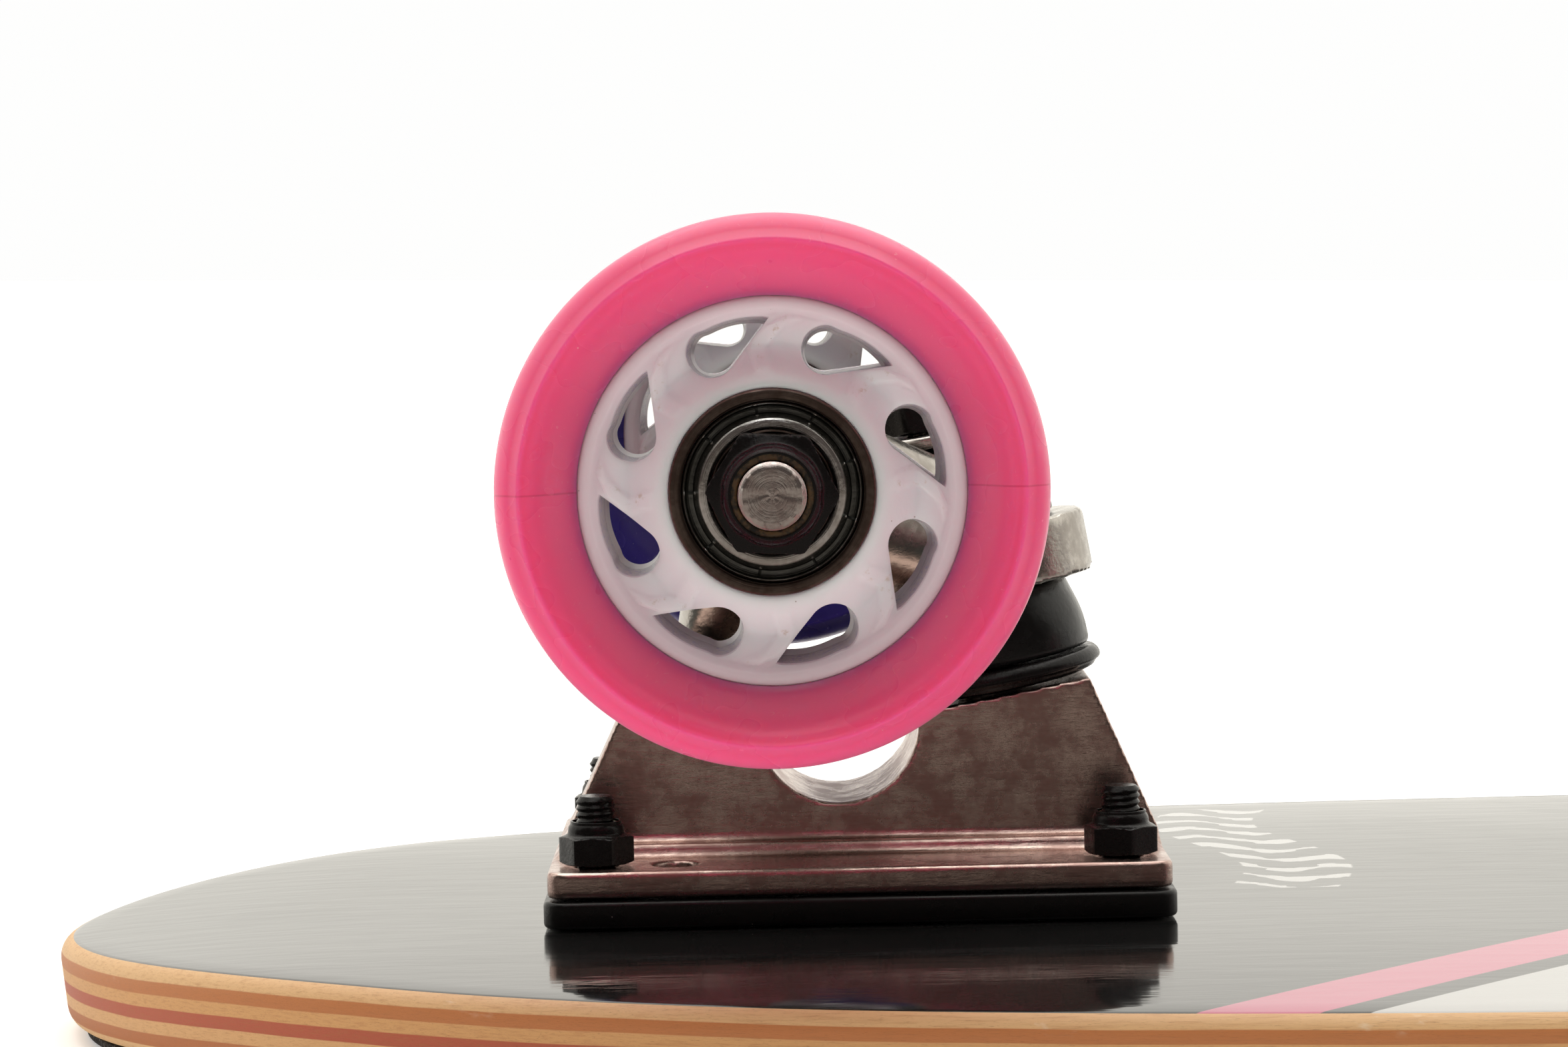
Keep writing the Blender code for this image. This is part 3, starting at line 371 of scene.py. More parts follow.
class Recipe:
    """A node tree that is written one call a node. Sockets are named; a value or another node's output feeds each."""

    def __init__(self, tree: bpy.types.NodeTree) -> None:
        """Starts from an empty tree."""
        self.tree = tree
        tree.nodes.clear()

    def node(self, kind: str, inputs: dict | None = None, **settings: object) -> bpy.types.Node:
        """Adds a node, sets it and feeds its inputs."""
        made = self.tree.nodes.new(kind)
        for key, value in settings.items():
            setattr(made, key, value)
        self.feed(made, inputs or {})
        return made

    def feed(self, node: bpy.types.Node, inputs: dict) -> None:
        """Feeds a node's inputs with sockets or plain values."""
        for key, value in inputs.items():
            socket = node.inputs[key]
            if isinstance(value, bpy.types.NodeSocket):
                self.tree.links.new(value, socket)
            elif isinstance(value, tuple) and len(value) == 3 and socket.type == "RGBA":
                socket.default_value = (*value, 1)
            else:
                socket.default_value = value

    def own(self) -> bpy.types.NodeSocket:
        """The piece's own coordinates in millimetres."""
        read = self.node("ShaderNodeAttribute", attribute_name="own")
        inputs = {0: read.outputs["Vector"], 3: 1 / MM}
        return self.node("ShaderNodeVectorMath", inputs, operation="SCALE").outputs[0]

    def mask(self, name: str) -> bpy.types.NodeSocket:
        """A point attribute that the mesh carries."""
        return self.node("ShaderNodeAttribute", attribute_name=name).outputs["Fac"]

    def math(self, operation: str, *values: object, clamp: bool = False) -> bpy.types.NodeSocket:
        """One sum."""
        made = self.node("ShaderNodeMath", dict(enumerate(values)), operation=operation, use_clamp=clamp)
        return made.outputs[0]

    def ramp(self, value: object, low: float, high: float, out_low: float = 0.0, out_high: float = 1.0):
        """Smooth step of a value from low to high, mapped to the two output values."""
        inputs = {"Value": value, "From Min": low, "From Max": high, "To Min": out_low, "To Max": out_high}
        return self.node("ShaderNodeMapRange", inputs, interpolation_type="SMOOTHSTEP").outputs["Result"]

    def mix(self, share: object, first: object, second: object, blend: str = "MIX") -> bpy.types.NodeSocket:
        """One colour over another."""
        made = self.node("ShaderNodeMix", data_type="RGBA", blend_type=blend)
        self.feed(made, {0: share, 6: first, 7: second})
        return made.outputs[2]

    def noise(self, vector: object, scale: float, detail: float = 3.0, rough: float = 0.55) -> bpy.types.NodeSocket:
        """Even noise around one half."""
        inputs = {"Vector": vector, "Scale": scale, "Detail": detail, "Roughness": rough}
        return self.node("ShaderNodeTexNoise", inputs).outputs["Fac"]

    def stretched(self, vector: object, scale: Colour, turn: Colour = (0, 0, 0)) -> bpy.types.NodeSocket:
        """Coordinates turned and stretched for a streaky pattern."""
        inputs = {"Vector": vector, "Scale": scale, "Rotation": turn}
        return self.node("ShaderNodeMapping", inputs).outputs[0]

    def split(self, vector: object) -> tuple[bpy.types.NodeSocket, ...]:
        """The three coordinates of a vector."""
        return tuple(self.node("ShaderNodeSeparateXYZ", {0: vector}).outputs)

    def bump(self, height: object, distance: float, strength: float = 1.0, normal: object = None):
        """Normals of a height that is given in parts of the distance, in metres."""
        inputs = {"Height": height, "Distance": distance, "Strength": strength}
        if normal is not None:
            inputs["Normal"] = normal
        return self.node("ShaderNodeBump", inputs).outputs[0]

    def group(self, tree: bpy.types.NodeTree, **inputs: object) -> bpy.types.Node:
        """A shared effect, with its inputs by name (underscores stand for spaces)."""
        made = self.node("ShaderNodeGroup", node_tree=tree)
        self.feed(made, {key.replace("_", " "): value for key, value in inputs.items()})
        return made


def effect(name: str, inputs: dict[str, object], outputs: Iterable[str]) -> tuple[bpy.types.NodeTree, Recipe, dict]:
    """An empty node group with its sockets.

    Args:
        name: Name of the effect.
        inputs: Input names with their default values, None for a vector.
        outputs: Names of the float outputs.

    Returns:
        The group, a recipe to write it with, and its inputs' sockets.
    """
    tree = bpy.data.node_groups.new(name, "ShaderNodeTree")
    for key, value in inputs.items():
        kind = "NodeSocketVector" if value is None else "NodeSocketFloat"
        socket = tree.interface.new_socket(key, in_out="INPUT", socket_type=kind)
        if value is not None:
            socket.default_value = value
    for key in outputs:
        tree.interface.new_socket(key, in_out="OUTPUT", socket_type="NodeSocketFloat")
    recipe = Recipe(tree)
    entry = recipe.node("NodeGroupInput")
    return tree, recipe, {socket.name: socket for socket in entry.outputs if socket.name}


def dust_effect() -> bpy.types.NodeTree:
    """Scattered specks: a dot in some of the cells of a random pattern, and short curled fibres."""
    tree, recipe, inputs = effect(
        "dust", {"Vector": None, "Spacing": 2.0, "Size": 0.06, "Amount": 0.5}, ("Specks", "Fibres")
    )
    scale = recipe.math("DIVIDE", 1.0, inputs["Spacing"])
    cells = recipe.node("ShaderNodeTexVoronoi", {"Vector": inputs["Vector"], "Scale": scale})
    picked = recipe.math("LESS_THAN", recipe.split(cells.outputs["Color"])[0], inputs["Amount"])
    size = recipe.math("MULTIPLY", inputs["Size"], scale)
    dot = recipe.math("LESS_THAN", cells.outputs["Distance"], size)
    specks = recipe.math("MULTIPLY", picked, dot)
    drift = recipe.noise(inputs["Vector"], 1.3, 2.0)
    curls = recipe.node("ShaderNodeTexWave", {"Vector": inputs["Vector"], "Scale": 0.35, "Distortion": 24.0})
    line = recipe.ramp(curls.outputs["Fac"], 0.992, 0.999)
    patch = recipe.ramp(drift, 0.60, 0.64)
    out = recipe.node("NodeGroupOutput")
    recipe.feed(out, {"Specks": specks, "Fibres": recipe.math("MULTIPLY", line, patch)})
    return tree


def mottle_effect() -> bpy.types.NodeTree:
    """Cloudy variation at two sizes, from 0 to 1."""
    tree, recipe, inputs = effect("mottle", {"Vector": None, "Scale": 1.0, "Contrast": 1.0}, ("Value",))
    fine = recipe.math("MULTIPLY", inputs["Scale"], 5.0)
    broad = recipe.node("ShaderNodeTexNoise", {"Vector": inputs["Vector"], "Scale": inputs["Scale"], "Detail": 4.0})
    close = recipe.node("ShaderNodeTexNoise", {"Vector": inputs["Vector"], "Scale": fine, "Detail": 3.0})
    blend = recipe.math("ADD", recipe.math("MULTIPLY", broad.outputs["Fac"], 0.65), recipe.math("MULTIPLY", close.outputs["Fac"], 0.35))
    value = recipe.math("ADD", recipe.math("MULTIPLY", recipe.math("SUBTRACT", blend, 0.5), inputs["Contrast"]), 0.5, clamp=True)
    recipe.feed(recipe.node("NodeGroupOutput"), {"Value": value})
    return tree


def lathe_effect() -> bpy.types.NodeTree:
    """Fine rings about Z, as turning or grinding leaves them: noise of the radius and the height."""
    tree, recipe, inputs = effect("lathe marks", {"Vector": None, "Scale": 8.0}, ("Value",))
    x, y, z = recipe.split(inputs["Vector"])
    squares = recipe.math("ADD", recipe.math("MULTIPLY", x, x), recipe.math("MULTIPLY", y, y))
    radius = recipe.math("SQRT", squares)
    turned = recipe.node("ShaderNodeCombineXYZ", {0: radius, 1: z, 2: recipe.math("MULTIPLY", x, 0.03)})
    marks = recipe.node("ShaderNodeTexNoise", {"Vector": turned.outputs[0], "Scale": inputs["Scale"], "Detail": 3.0})
    recipe.feed(recipe.node("NodeGroupOutput"), {"Value": marks.outputs["Fac"]})
    return tree


class Effects:
    """The shared effects, each built once."""

    dust = dust_effect()
    mottle = mottle_effect()
    lathe = lathe_effect()


@dataclass(frozen=True)
class Finish:
    """A finish: the record's slot that it belongs to, and its material, made the first time it is asked for."""

    name: str
    slot: str

    def material(self) -> bpy.types.Material:
        """The material, built once."""
        known = bpy.data.materials.get(self.name)
        if known is not None:
            return known
        material = bpy.data.materials.new(self.name)
        material.use_nodes = True
        recipe = Recipe(material.node_tree)
        shader = recipe.node("ShaderNodeBsdfPrincipled")
        self.write(recipe, shader)
        recipe.node("ShaderNodeOutputMaterial", {"Surface": shader.outputs[0]})
        return material

    def write(self, recipe: Recipe, shader: bpy.types.Node) -> None:
        """Feeds the shader; each kind of finish has its own."""
        raise NotImplementedError


@dataclass(frozen=True)
class Urethane(Finish):
    """Poured urethane: light goes a few millimetres in, under a skin with dust and a mould line."""

    colour: Colour = (0.7, 0.08, 0.2)
    deep: Colour = (0.5, 0.03, 0.1)
    radius: Colour = (1.0, 0.25, 0.35)
    reach: float = 0.004
    dust: Colour = (0.85, 0.5, 0.5)
    seam: Colour = (0.45, 0.03, 0.09)

    def write(self, recipe: Recipe, shader: bpy.types.Node) -> None:
        """Colour clouds, specks and fibres, and a raised line at the mould's joint."""
        own = recipe.own()
        clouds = recipe.group(Effects.mottle, Vector=own, Scale=0.012, Contrast=1.0).outputs["Value"]
        dust = recipe.group(Effects.dust, Vector=own, Spacing=3.4, Size=0.09, Amount=0.30)
        x, y, z = recipe.split(own)
        colour = recipe.mix(recipe.math("MULTIPLY", clouds, 0.25), self.colour, self.deep)
        marks = recipe.math("MAXIMUM", dust.outputs["Specks"], recipe.math("MULTIPLY", dust.outputs["Fibres"], 0.35))
        colour = recipe.mix(recipe.math("MULTIPLY", marks, 0.7), colour, self.dust)
        flat_y = recipe.math("ABSOLUTE", recipe.math("SUBTRACT", y, 0.25))
        line = recipe.ramp(flat_y, 0.02, 0.16, 1.0, 0.0)
        colour = recipe.mix(recipe.math("MULTIPLY", line, 0.45), colour, self.seam)
        skin = recipe.noise(own, 1.6, 2.0)
        height = recipe.math("ADD", recipe.math("MULTIPLY", skin, 0.25), recipe.math("MULTIPLY", line, 0.8))
        rough = recipe.ramp(recipe.noise(own, 0.10, 2.0), 0.3, 0.7, 0.24, 0.32)
        recipe.feed(
            shader,
            {
                "Base Color": colour,
                "Roughness": rough,
                "Subsurface Weight": 1.0,
                "Subsurface Radius": self.radius,
                "Subsurface Scale": self.reach,
                "Specular IOR Level": 0.45,
                "Sheen Weight": 0.22,
                "Sheen Roughness": 0.45,
                "Sheen Tint": (1.0, 0.72, 0.86),
                "Normal": recipe.bump(height, 0.00003, 0.5),
            },
        )


@dataclass(frozen=True)
class MilkyPlastic(Finish):
    """The core's milky moulded plastic: smooth outside, torn and tinted on the holes' outer walls."""

    colour: Colour = (0.82, 0.79, 0.83)
    tint: Colour = (0.45, 0.36, 0.70)
    grime: Colour = (0.45, 0.30, 0.18)

    def write(self, recipe: Recipe, shader: bpy.types.Node) -> None:
        """Milky colour with a painted pink glow towards the rim, brown grime on the raised lobes, rough walls in the
        holes.
        """
        own = recipe.own()
        wall, lobe = recipe.mask("wall"), recipe.mask("lobe")
        clouds = recipe.group(Effects.mottle, Vector=own, Scale=0.09, Contrast=1.2).outputs["Value"]
        x, y, _ = recipe.split(own)
        radius = recipe.math("SQRT", recipe.math("ADD", recipe.math("MULTIPLY", x, x), recipe.math("MULTIPLY", y, y)))
        # Painted light: the colour turns pinker towards the rim, standing in for light that comes through the pink
        # tyre.
        painted_tyre_glow = recipe.ramp(radius, 15.0, 20.5, 0.0, 0.85)
        pale = recipe.mix(recipe.math("MULTIPLY", clouds, 0.35), self.colour, (0.72, 0.66, 0.68))
        pale = recipe.mix(painted_tyre_glow, pale, (0.80, 0.60, 0.66))
        torn = recipe.noise(own, 1.9, 5.0, 0.7)
        violet = recipe.math("MULTIPLY", wall, recipe.ramp(torn, 0.50, 0.66))
        colour = recipe.mix(recipe.math("MULTIPLY", violet, 0.75), pale, self.tint)
        smear = recipe.ramp(recipe.noise(recipe.stretched(own, (1.0, 1.0, 1.0)), 0.75, 5.0, 0.7), 0.56, 0.72)
        colour = recipe.mix(recipe.math("MULTIPLY", recipe.math("MULTIPLY", smear, lobe), 0.5), colour, self.grime)
        dust = recipe.group(Effects.dust, Vector=own, Spacing=2.1, Size=0.10, Amount=0.22)
        colour = recipe.mix(recipe.math("MULTIPLY", dust.outputs["Specks"], 0.55), colour, (0.22, 0.14, 0.10))
        height = recipe.math("ADD", recipe.math("MULTIPLY", wall, torn), recipe.math("MULTIPLY", recipe.noise(own, 1.2), 0.06))
        recipe.feed(
            shader,
            {
                "Base Color": colour,
                "Roughness": recipe.ramp(wall, 0.0, 1.0, 0.32, 0.22),
                "Subsurface Weight": 1.0,
                "Subsurface Radius": (1.0, 0.8, 0.85),
                "Subsurface Scale": 0.0035,
                "Specular IOR Level": 0.5,
                "Normal": recipe.bump(height, 0.0005, 0.8),
            },
        )


@dataclass(frozen=True)
class Metal(Finish):
    """Plated or polished metal with clouded tarnish, pits and fine scratches."""

    colour: Colour = (0.6, 0.57, 0.54)
    tarnish: Colour = (0.35, 0.28, 0.26)
    rough_low: float = 0.18
    rough_high: float = 0.4
    cloud_scale: float = 0.25
    streaks: Colour = (0.3, 0.3, 0.3)
    relief: float = 0.00005
    turned: bool = False

    def write(self, recipe: Recipe, shader: bpy.types.Node) -> None:
        """Tarnish clouds in colour and roughness, streaks or lathe marks in the normal."""
        own = recipe.own()
        clouds = recipe.group(Effects.mottle, Vector=own, Scale=self.cloud_scale, Contrast=1.9).outputs["Value"]
        streaks = recipe.noise(recipe.stretched(own, self.streaks), 3.0, 5.0, 0.65)
        if self.turned:
            streaks = recipe.group(Effects.lathe, Vector=own, Scale=9.0).outputs["Value"]
        wear = recipe.math("ADD", recipe.math("MULTIPLY", clouds, 0.7), recipe.math("MULTIPLY", streaks, 0.3))
        pits = recipe.group(Effects.dust, Vector=own, Spacing=1.7, Size=0.14, Amount=0.25).outputs["Specks"]
        height = recipe.math("SUBTRACT", recipe.math("ADD", streaks, recipe.math("MULTIPLY", clouds, 0.8)), pits)
        recipe.feed(
            shader,
            {
                "Base Color": recipe.mix(recipe.ramp(wear, 0.32, 0.68), self.colour, self.tarnish),
                "Metallic": 1.0,
                "Roughness": recipe.ramp(wear, 0.3, 0.7, self.rough_low, self.rough_high),
                "Normal": recipe.bump(height, self.relief, 0.7),
            },
        )


@dataclass(frozen=True)
class HammeredEnd(Metal):
    """Turned steel whose sawn end face, beyond a given height, is coarse."""

    face_height: float = 0.0963

    def write(self, recipe: Recipe, shader: bpy.types.Node) -> None:
        """The metal, with a crumpled relief on the two end faces."""
        super().write(recipe, shader)
        own = recipe.own()
        x, y, z = recipe.split(own)
        limit = self.face_height / MM
        face = recipe.math("GREATER_THAN", recipe.math("ABSOLUTE", z), limit)
        cells = recipe.node("ShaderNodeTexVoronoi", {"Vector": own, "Scale": 4.5, "Randomness": 1.0})
        crumple = recipe.math("ADD", recipe.noise(own, 5.0, 6.0, 0.75), recipe.math("MULTIPLY", cells.outputs["Distance"], 0.6))
        height = recipe.math("MULTIPLY", face, crumple)
        old = shader.inputs["Normal"].links[0].from_socket
        recipe.feed(shader, {"Normal": recipe.bump(height, 0.00018, 1.0, old)})


@dataclass(frozen=True)
class ShieldSteel(Metal):
    """A pressed shield whose outer groove is coloured near-black."""

    groove: tuple[float, float] = (8.38, 9.26)
    groove_colour: Colour = (0.035, 0.045, 0.040)

    def write(self, recipe: Recipe, shader: bpy.types.Node) -> None:
        """The metal, darkened between two radii."""
        super().write(recipe, shader)
        x, y, _ = recipe.split(recipe.own())
        radius = recipe.math("SQRT", recipe.math("ADD", recipe.math("MULTIPLY", x, x), recipe.math("MULTIPLY", y, y)))
        inside = recipe.math("MULTIPLY", recipe.ramp(radius, self.groove[0] - 0.05, self.groove[0]), recipe.ramp(radius, self.groove[1], self.groove[1] + 0.05, 1.0, 0.0))
        old = shader.inputs["Base Color"].links[0].from_socket
        recipe.feed(shader, {"Base Color": recipe.mix(recipe.math("MULTIPLY", inside, 0.85), old, self.groove_colour)})


@dataclass(frozen=True)
class BlackSteel(Finish):
    """Black-oxide steel: nearly black, oily, with bare metal showing through in specks."""

    colour: Colour = (0.006, 0.005, 0.005)
    bare: Colour = (0.25, 0.20, 0.15)

    def write(self, recipe: Recipe, shader: bpy.types.Node) -> None:
        """Black with worn specks and an uneven oily gloss."""
        own = recipe.own()
        clouds = recipe.group(Effects.mottle, Vector=own, Scale=0.6, Contrast=1.8).outputs["Value"]
        worn = recipe.ramp(recipe.noise(own, 3.2, 6.0, 0.7), 0.70, 0.78)
        recipe.feed(
            shader,
            {
                "Base Color": recipe.mix(recipe.math("MULTIPLY", worn, 0.7), self.colour, self.bare),
                "Metallic": recipe.math("MULTIPLY", worn, 0.8),
                "Roughness": recipe.ramp(clouds, 0.2, 0.8, 0.14, 0.34),
                "Specular IOR Level": 0.2,
                "Normal": recipe.bump(recipe.noise(own, 2.4, 4.0), 0.00006, 0.6),
            },
        )


@dataclass(frozen=True)
class BlackRubber(Finish):
    """Smooth black rubber or soft plastic with a skin sheen, smudges and dust."""

    colour: Colour = (0.006, 0.006, 0.006)
    rough: float = 0.3
    dusty: float = 0.15

    def write(self, recipe: Recipe, shader: bpy.types.Node) -> None:
        """Black with grey dust specks and smudged gloss."""
        own = recipe.own()
        smudge = recipe.group(Effects.mottle, Vector=own, Scale=0.15, Contrast=2.0).outputs["Value"]
        dust = recipe.group(Effects.dust, Vector=own, Spacing=1.9, Size=0.10, Amount=self.dusty)
        colour = recipe.mix(recipe.math("MULTIPLY", dust.outputs["Specks"], 0.5), self.colour, (0.35, 0.33, 0.31))
        recipe.feed(
            shader,
            {
                "Base Color": colour,
                "Roughness": recipe.ramp(smudge, 0.2, 0.8, self.rough - 0.08, self.rough + 0.12),
                "Specular IOR Level": 0.3,
                "Normal": recipe.bump(recipe.noise(own, 1.1, 4.0), 0.00008, 0.5),
            },
        )


@dataclass(frozen=True)
class Nylon(Finish):
    """A lock nut's amber nylon ring, dirty from the thread."""

    colour: Colour = (0.10, 0.055, 0.022)

    def write(self, recipe: Recipe, shader: bpy.types.Node) -> None:
        """Amber with dark smears."""
        own = recipe.own()
        smear = recipe.ramp(recipe.noise(own, 1.1, 5.0, 0.7), 0.40, 0.62)
        recipe.feed(
            shader,
            {
                "Base Color": recipe.mix(smear, self.colour, (0.015, 0.011, 0.008)),
                "Roughness": recipe.ramp(smear, 0.0, 1.0, 0.28, 0.45),
                "Subsurface Weight": 0.3,
                "Subsurface Scale": 0.001,
                "Normal": recipe.bump(recipe.noise(own, 3.0, 4.0), 0.0001, 0.7),
            },
        )


@dataclass(frozen=True)
class GripGrit(Finish):
    """Black grit on the tape, with a glint here and there and paler worn ground."""

    colour: Colour = (0.016, 0.016, 0.017)

    def write(self, recipe: Recipe, shader: bpy.types.Node) -> None:
        """Random grains in colour, gloss and relief."""
        own = recipe.own()
        grains = recipe.node("ShaderNodeTexVoronoi", {"Vector": own, "Scale": 2.4})
        tone = recipe.split(grains.outputs["Color"])[0]
        worn = recipe.ramp(recipe.noise(own, 0.02, 5.0, 0.6), 0.5, 0.75)
        colour = recipe.mix(recipe.ramp(tone, 0.55, 1.0), self.colour, (0.075, 0.075, 0.078))
        colour = recipe.mix(recipe.math("MULTIPLY", worn, 0.35), colour, (0.10, 0.098, 0.095))
        recipe.feed(
            shader,
            {
                "Base Color": colour,
                "Roughness": recipe.ramp(tone, 0.9, 0.98, 0.85, 0.25),
                "Normal": recipe.bump(grains.outputs["Distance"], 0.0004, 1.0),
            },
        )


@dataclass(frozen=True)
class LacqueredPly(Finish):
    """The deck: black lacquer with a printed pattern underneath, bare maple plies on the rounded edge.

    The mesh's own coordinates are (along, across, depth below the underside), in the board's frame.
    """

    thickness: float = 0.0108
    lacquer_depth: float = 0.0001
    black: Colour = (0.010, 0.010, 0.010)
    pink: Colour = (0.52, 0.10, 0.19)
    white: Colour = (0.50, 0.50, 0.49)
    band_edges: tuple[float, ...] = (-87.0, -76.9, -72.8)
    plies: tuple[Colour, ...] = (
        srgb(226, 182, 128),
        srgb(196, 122, 66),
        srgb(218, 164, 104),
        srgb(188, 92, 62),
        srgb(222, 172, 116),
        srgb(190, 116, 66),
        srgb(226, 184, 132),
    )

    def printed(self, recipe: Recipe, own: bpy.types.NodeSocket) -> bpy.types.NodeSocket:
        """Diagonal bands across both ends, and a row of slanted dashes by each truck.

        Args:
            recipe: The tree being written.
            own: Coordinates in millimetres.

        Returns:
            The print's colour.
        """
        x, y, _ = recipe.split(own)
        slant = recipe.math("MULTIPLY", recipe.math("SUBTRACT", x, y), math.sqrt(0.5))
        mirrored = recipe.math("MULTIPLY", recipe.math("ABSOLUTE", slant), -1.0)
        outer, inner, field_edge = self.band_edges
        edge = 0.12
        stripe = recipe.math(
            "MULTIPLY", recipe.ramp(mirrored, outer - edge, outer + edge), recipe.ramp(mirrored, inner - edge, inner + edge, 1.0, 0.0)
        )
        plain = recipe.ramp(mirrored, field_edge - edge, field_edge + edge)
        row_y = recipe.math("SUBTRACT", y, 40.0)
        bend = recipe.math("MULTIPLY", recipe.math("SINE", recipe.math("MULTIPLY", x, 0.42)), 2.4)
        phase = recipe.math("PINGPONG", recipe.math("ADD", row_y, recipe.math("ADD", recipe.math("MULTIPLY", x, 0.35), bend)), 4.5)
        weight = recipe.ramp(recipe.noise(own, 0.16, 2.0), 0.35, 0.65, 0.5, 2.4)
        bar = recipe.math("LESS_THAN", phase, weight)
        inside_y = recipe.ramp(recipe.math("ABSOLUTE", row_y), 42.0, 42.4, 1.0, 0.0)
        reach = recipe.math("MULTIPLY", recipe.math("SINE", recipe.math("MULTIPLY", row_y, 0.075)), 4.0)
        offset = recipe.math("ABSOLUTE", recipe.math("ADD", recipe.math("ADD", x, 192.8), reach))
        inside_x = recipe.ramp(offset, 6.8, 7.2, 1.0, 0.0)
        dashes = recipe.math("MULTIPLY", bar, recipe.math("MULTIPLY", inside_y, inside_x))
        colour = recipe.mix(stripe, self.black, self.pink)
        return recipe.mix(recipe.math("MAXIMUM", plain, dashes), colour, self.white)

    def write(self, recipe: Recipe, shader: bpy.types.Node) -> None:
        """Print and lacquer at depth 0; below it, plies with grain, glue lines and worn pale patches."""
        own = recipe.own()
        x, y, level = recipe.split(own)
        depth = recipe.math("MULTIPLY", level, -1.0)
        bare = recipe.math("GREATER_THAN", depth, self.lacquer_depth / MM)
        streak = recipe.noise(recipe.stretched(own, (0.05, 0.5, 2.2)), 2.2, 6.0, 0.62)
        pores = recipe.noise(recipe.stretched(own, (0.25, 2.0, 6.0)), 2.6, 4.0, 0.7)
        ply = self.thickness / MM / len(self.plies)
        wander = recipe.math("MULTIPLY", recipe.math("SUBTRACT", recipe.noise(own, 0.035, 2.0), 0.5), 0.5)
        layer = recipe.math("DIVIDE", recipe.math("ADD", depth, wander), ply)
        colour: object = self.plies[0]
        for index, tone in enumerate(self.plies[1:], start=1):
            colour = recipe.mix(recipe.ramp(layer, index - 0.05, index + 0.05), colour, tone)
        colour = recipe.mix(recipe.math("MULTIPLY", recipe.ramp(streak, 0.45, 0.75), 0.45), colour, srgb(176, 112, 62))
        colour = recipe.mix(recipe.math("MULTIPLY", recipe.ramp(pores, 0.56, 0.70), 0.5), colour, srgb(140, 84, 44))
        scuff = recipe.ramp(recipe.noise(recipe.stretched(own, (0.35, 0.35, 0.9)), 0.22, 5.0, 0.6), 0.60, 0.68)
        near_top = recipe.ramp(depth, 0.6, 2.6, 1.0, 0.0)
        colour = recipe.mix(recipe.math("MULTIPLY", recipe.math("MULTIPLY", scuff, near_top), 0.7), colour, srgb(246, 232, 206))
        printed = self.printed(recipe, own)
        scratches = recipe.ramp(recipe.noise(recipe.stretched(own, (0.05, 0.9, 1.0), (0, 0, 1.1)), 1.6, 5.0, 0.6), 0.70, 0.76)
        dust = recipe.group(Effects.dust, Vector=own, Spacing=3.2, Size=0.10, Amount=0.12).outputs["Specks"]
        printed = recipe.mix(recipe.math("MULTIPLY", recipe.math("MAXIMUM", scratches, dust), 0.12), printed, (0.5, 0.5, 0.5))
        haze = recipe.group(Effects.mottle, Vector=own, Scale=0.03, Contrast=2.4).outputs["Value"]
        gloss = recipe.math("ADD", recipe.ramp(haze, 0.2, 0.8, 0.05, 0.13), recipe.math("MULTIPLY", scratches, 0.12))
        wave = recipe.noise(recipe.stretched(own, (0.05, 0.22, 0.2)), 1.2, 3.0)
        rough = recipe.math("ADD", recipe.math("MULTIPLY", gloss, recipe.math("SUBTRACT", 1.0, bare)), recipe.math("MULTIPLY", bare, 0.5))
        lacquer_relief = recipe.math("MULTIPLY", wave, recipe.math("SUBTRACT", 1.0, bare))
        wood_relief = recipe.math("MULTIPLY", recipe.math("ADD", streak, pores), recipe.math("MULTIPLY", bare, 0.9))
        recipe.feed(
            shader,
            {
                "Base Color": recipe.mix(bare, printed, colour),
                "Roughness": rough,
                "Specular IOR Level": 0.62,
                "Normal": recipe.bump(recipe.math("ADD", lacquer_relief, wood_relief), 0.00008, 0.5),
            },
        )


PINK = Urethane("pink urethane", "pink_urethane", (0.80, 0.098, 0.25), (0.76, 0.085, 0.21), (1.0, 0.3, 0.45), 0.006)
VIOLET = Urethane(
    "violet urethane", "violet_urethane", (0.035, 0.022, 0.22), (0.022, 0.014, 0.15), (0.4, 0.3, 1.0), 0.003, (0.4, 0.4, 0.6), (0.01, 0.008, 0.08)
)
CORE = MilkyPlastic("milky core plastic", "milky_core")
RACE = Metal("ground race steel", "bearing_steel", (0.19, 0.15, 0.13), (0.12, 0.09, 0.075), 0.30, 0.45, 0.3, turned=True)
SHIELD = ShieldSteel("pressed shield steel", "bearing_steel", (0.80, 0.80, 0.79), (0.55, 0.53, 0.50), 0.10, 0.24, 0.35, turned=True)
BASEPLATE = Metal(
    "plated baseplate", "baseplate_metal", (0.58, 0.45, 0.40), (0.40, 0.27, 0.24), 0.16, 0.34, 0.16, (0.12, 0.7, 0.7), 0.00007
)
HANGER = Metal("polished hanger", "hanger_metal", (0.50, 0.47, 0.43), (0.34, 0.31, 0.28), 0.14, 0.34, 0.12, relief=0.00009)
AXLE = HammeredEnd("plated axle steel", "axle_steel", (0.74, 0.70, 0.67), (0.52, 0.44, 0.42), 0.14, 0.30, 0.5, turned=True)
PLAIN_STEEL = Metal("plated washer steel", "axle_steel", (0.74, 0.71, 0.68), (0.52, 0.47, 0.44), 0.14, 0.3, 0.4, turned=True)
BLACK_STEEL = BlackSteel("black oxide steel", "black_steel")
BUSHING = BlackRubber("black bushing rubber", "black_rubber", rough=0.24, dusty=0.05)
RISER = BlackRubber("black riser rubber", "black_rubber", rough=0.30, dusty=0.35)
NYLON = Nylon("amber nylon", "black_rubber")
GRIT = GripGrit("black grit", "grip")
PLY = LacqueredPly("lacquered maple ply", "deck_maple")


# ---------------------------------------------------------------- frames


def shift(x: float, y: float, z: float) -> Matrix:
    """A move without a turn."""
    return Matrix.Translation((x, y, z))


def turn(degrees: float, axis: str) -> Matrix:
    """A turn about one of the axes."""
    return Matrix.Rotation(math.radians(degrees), 4, axis)


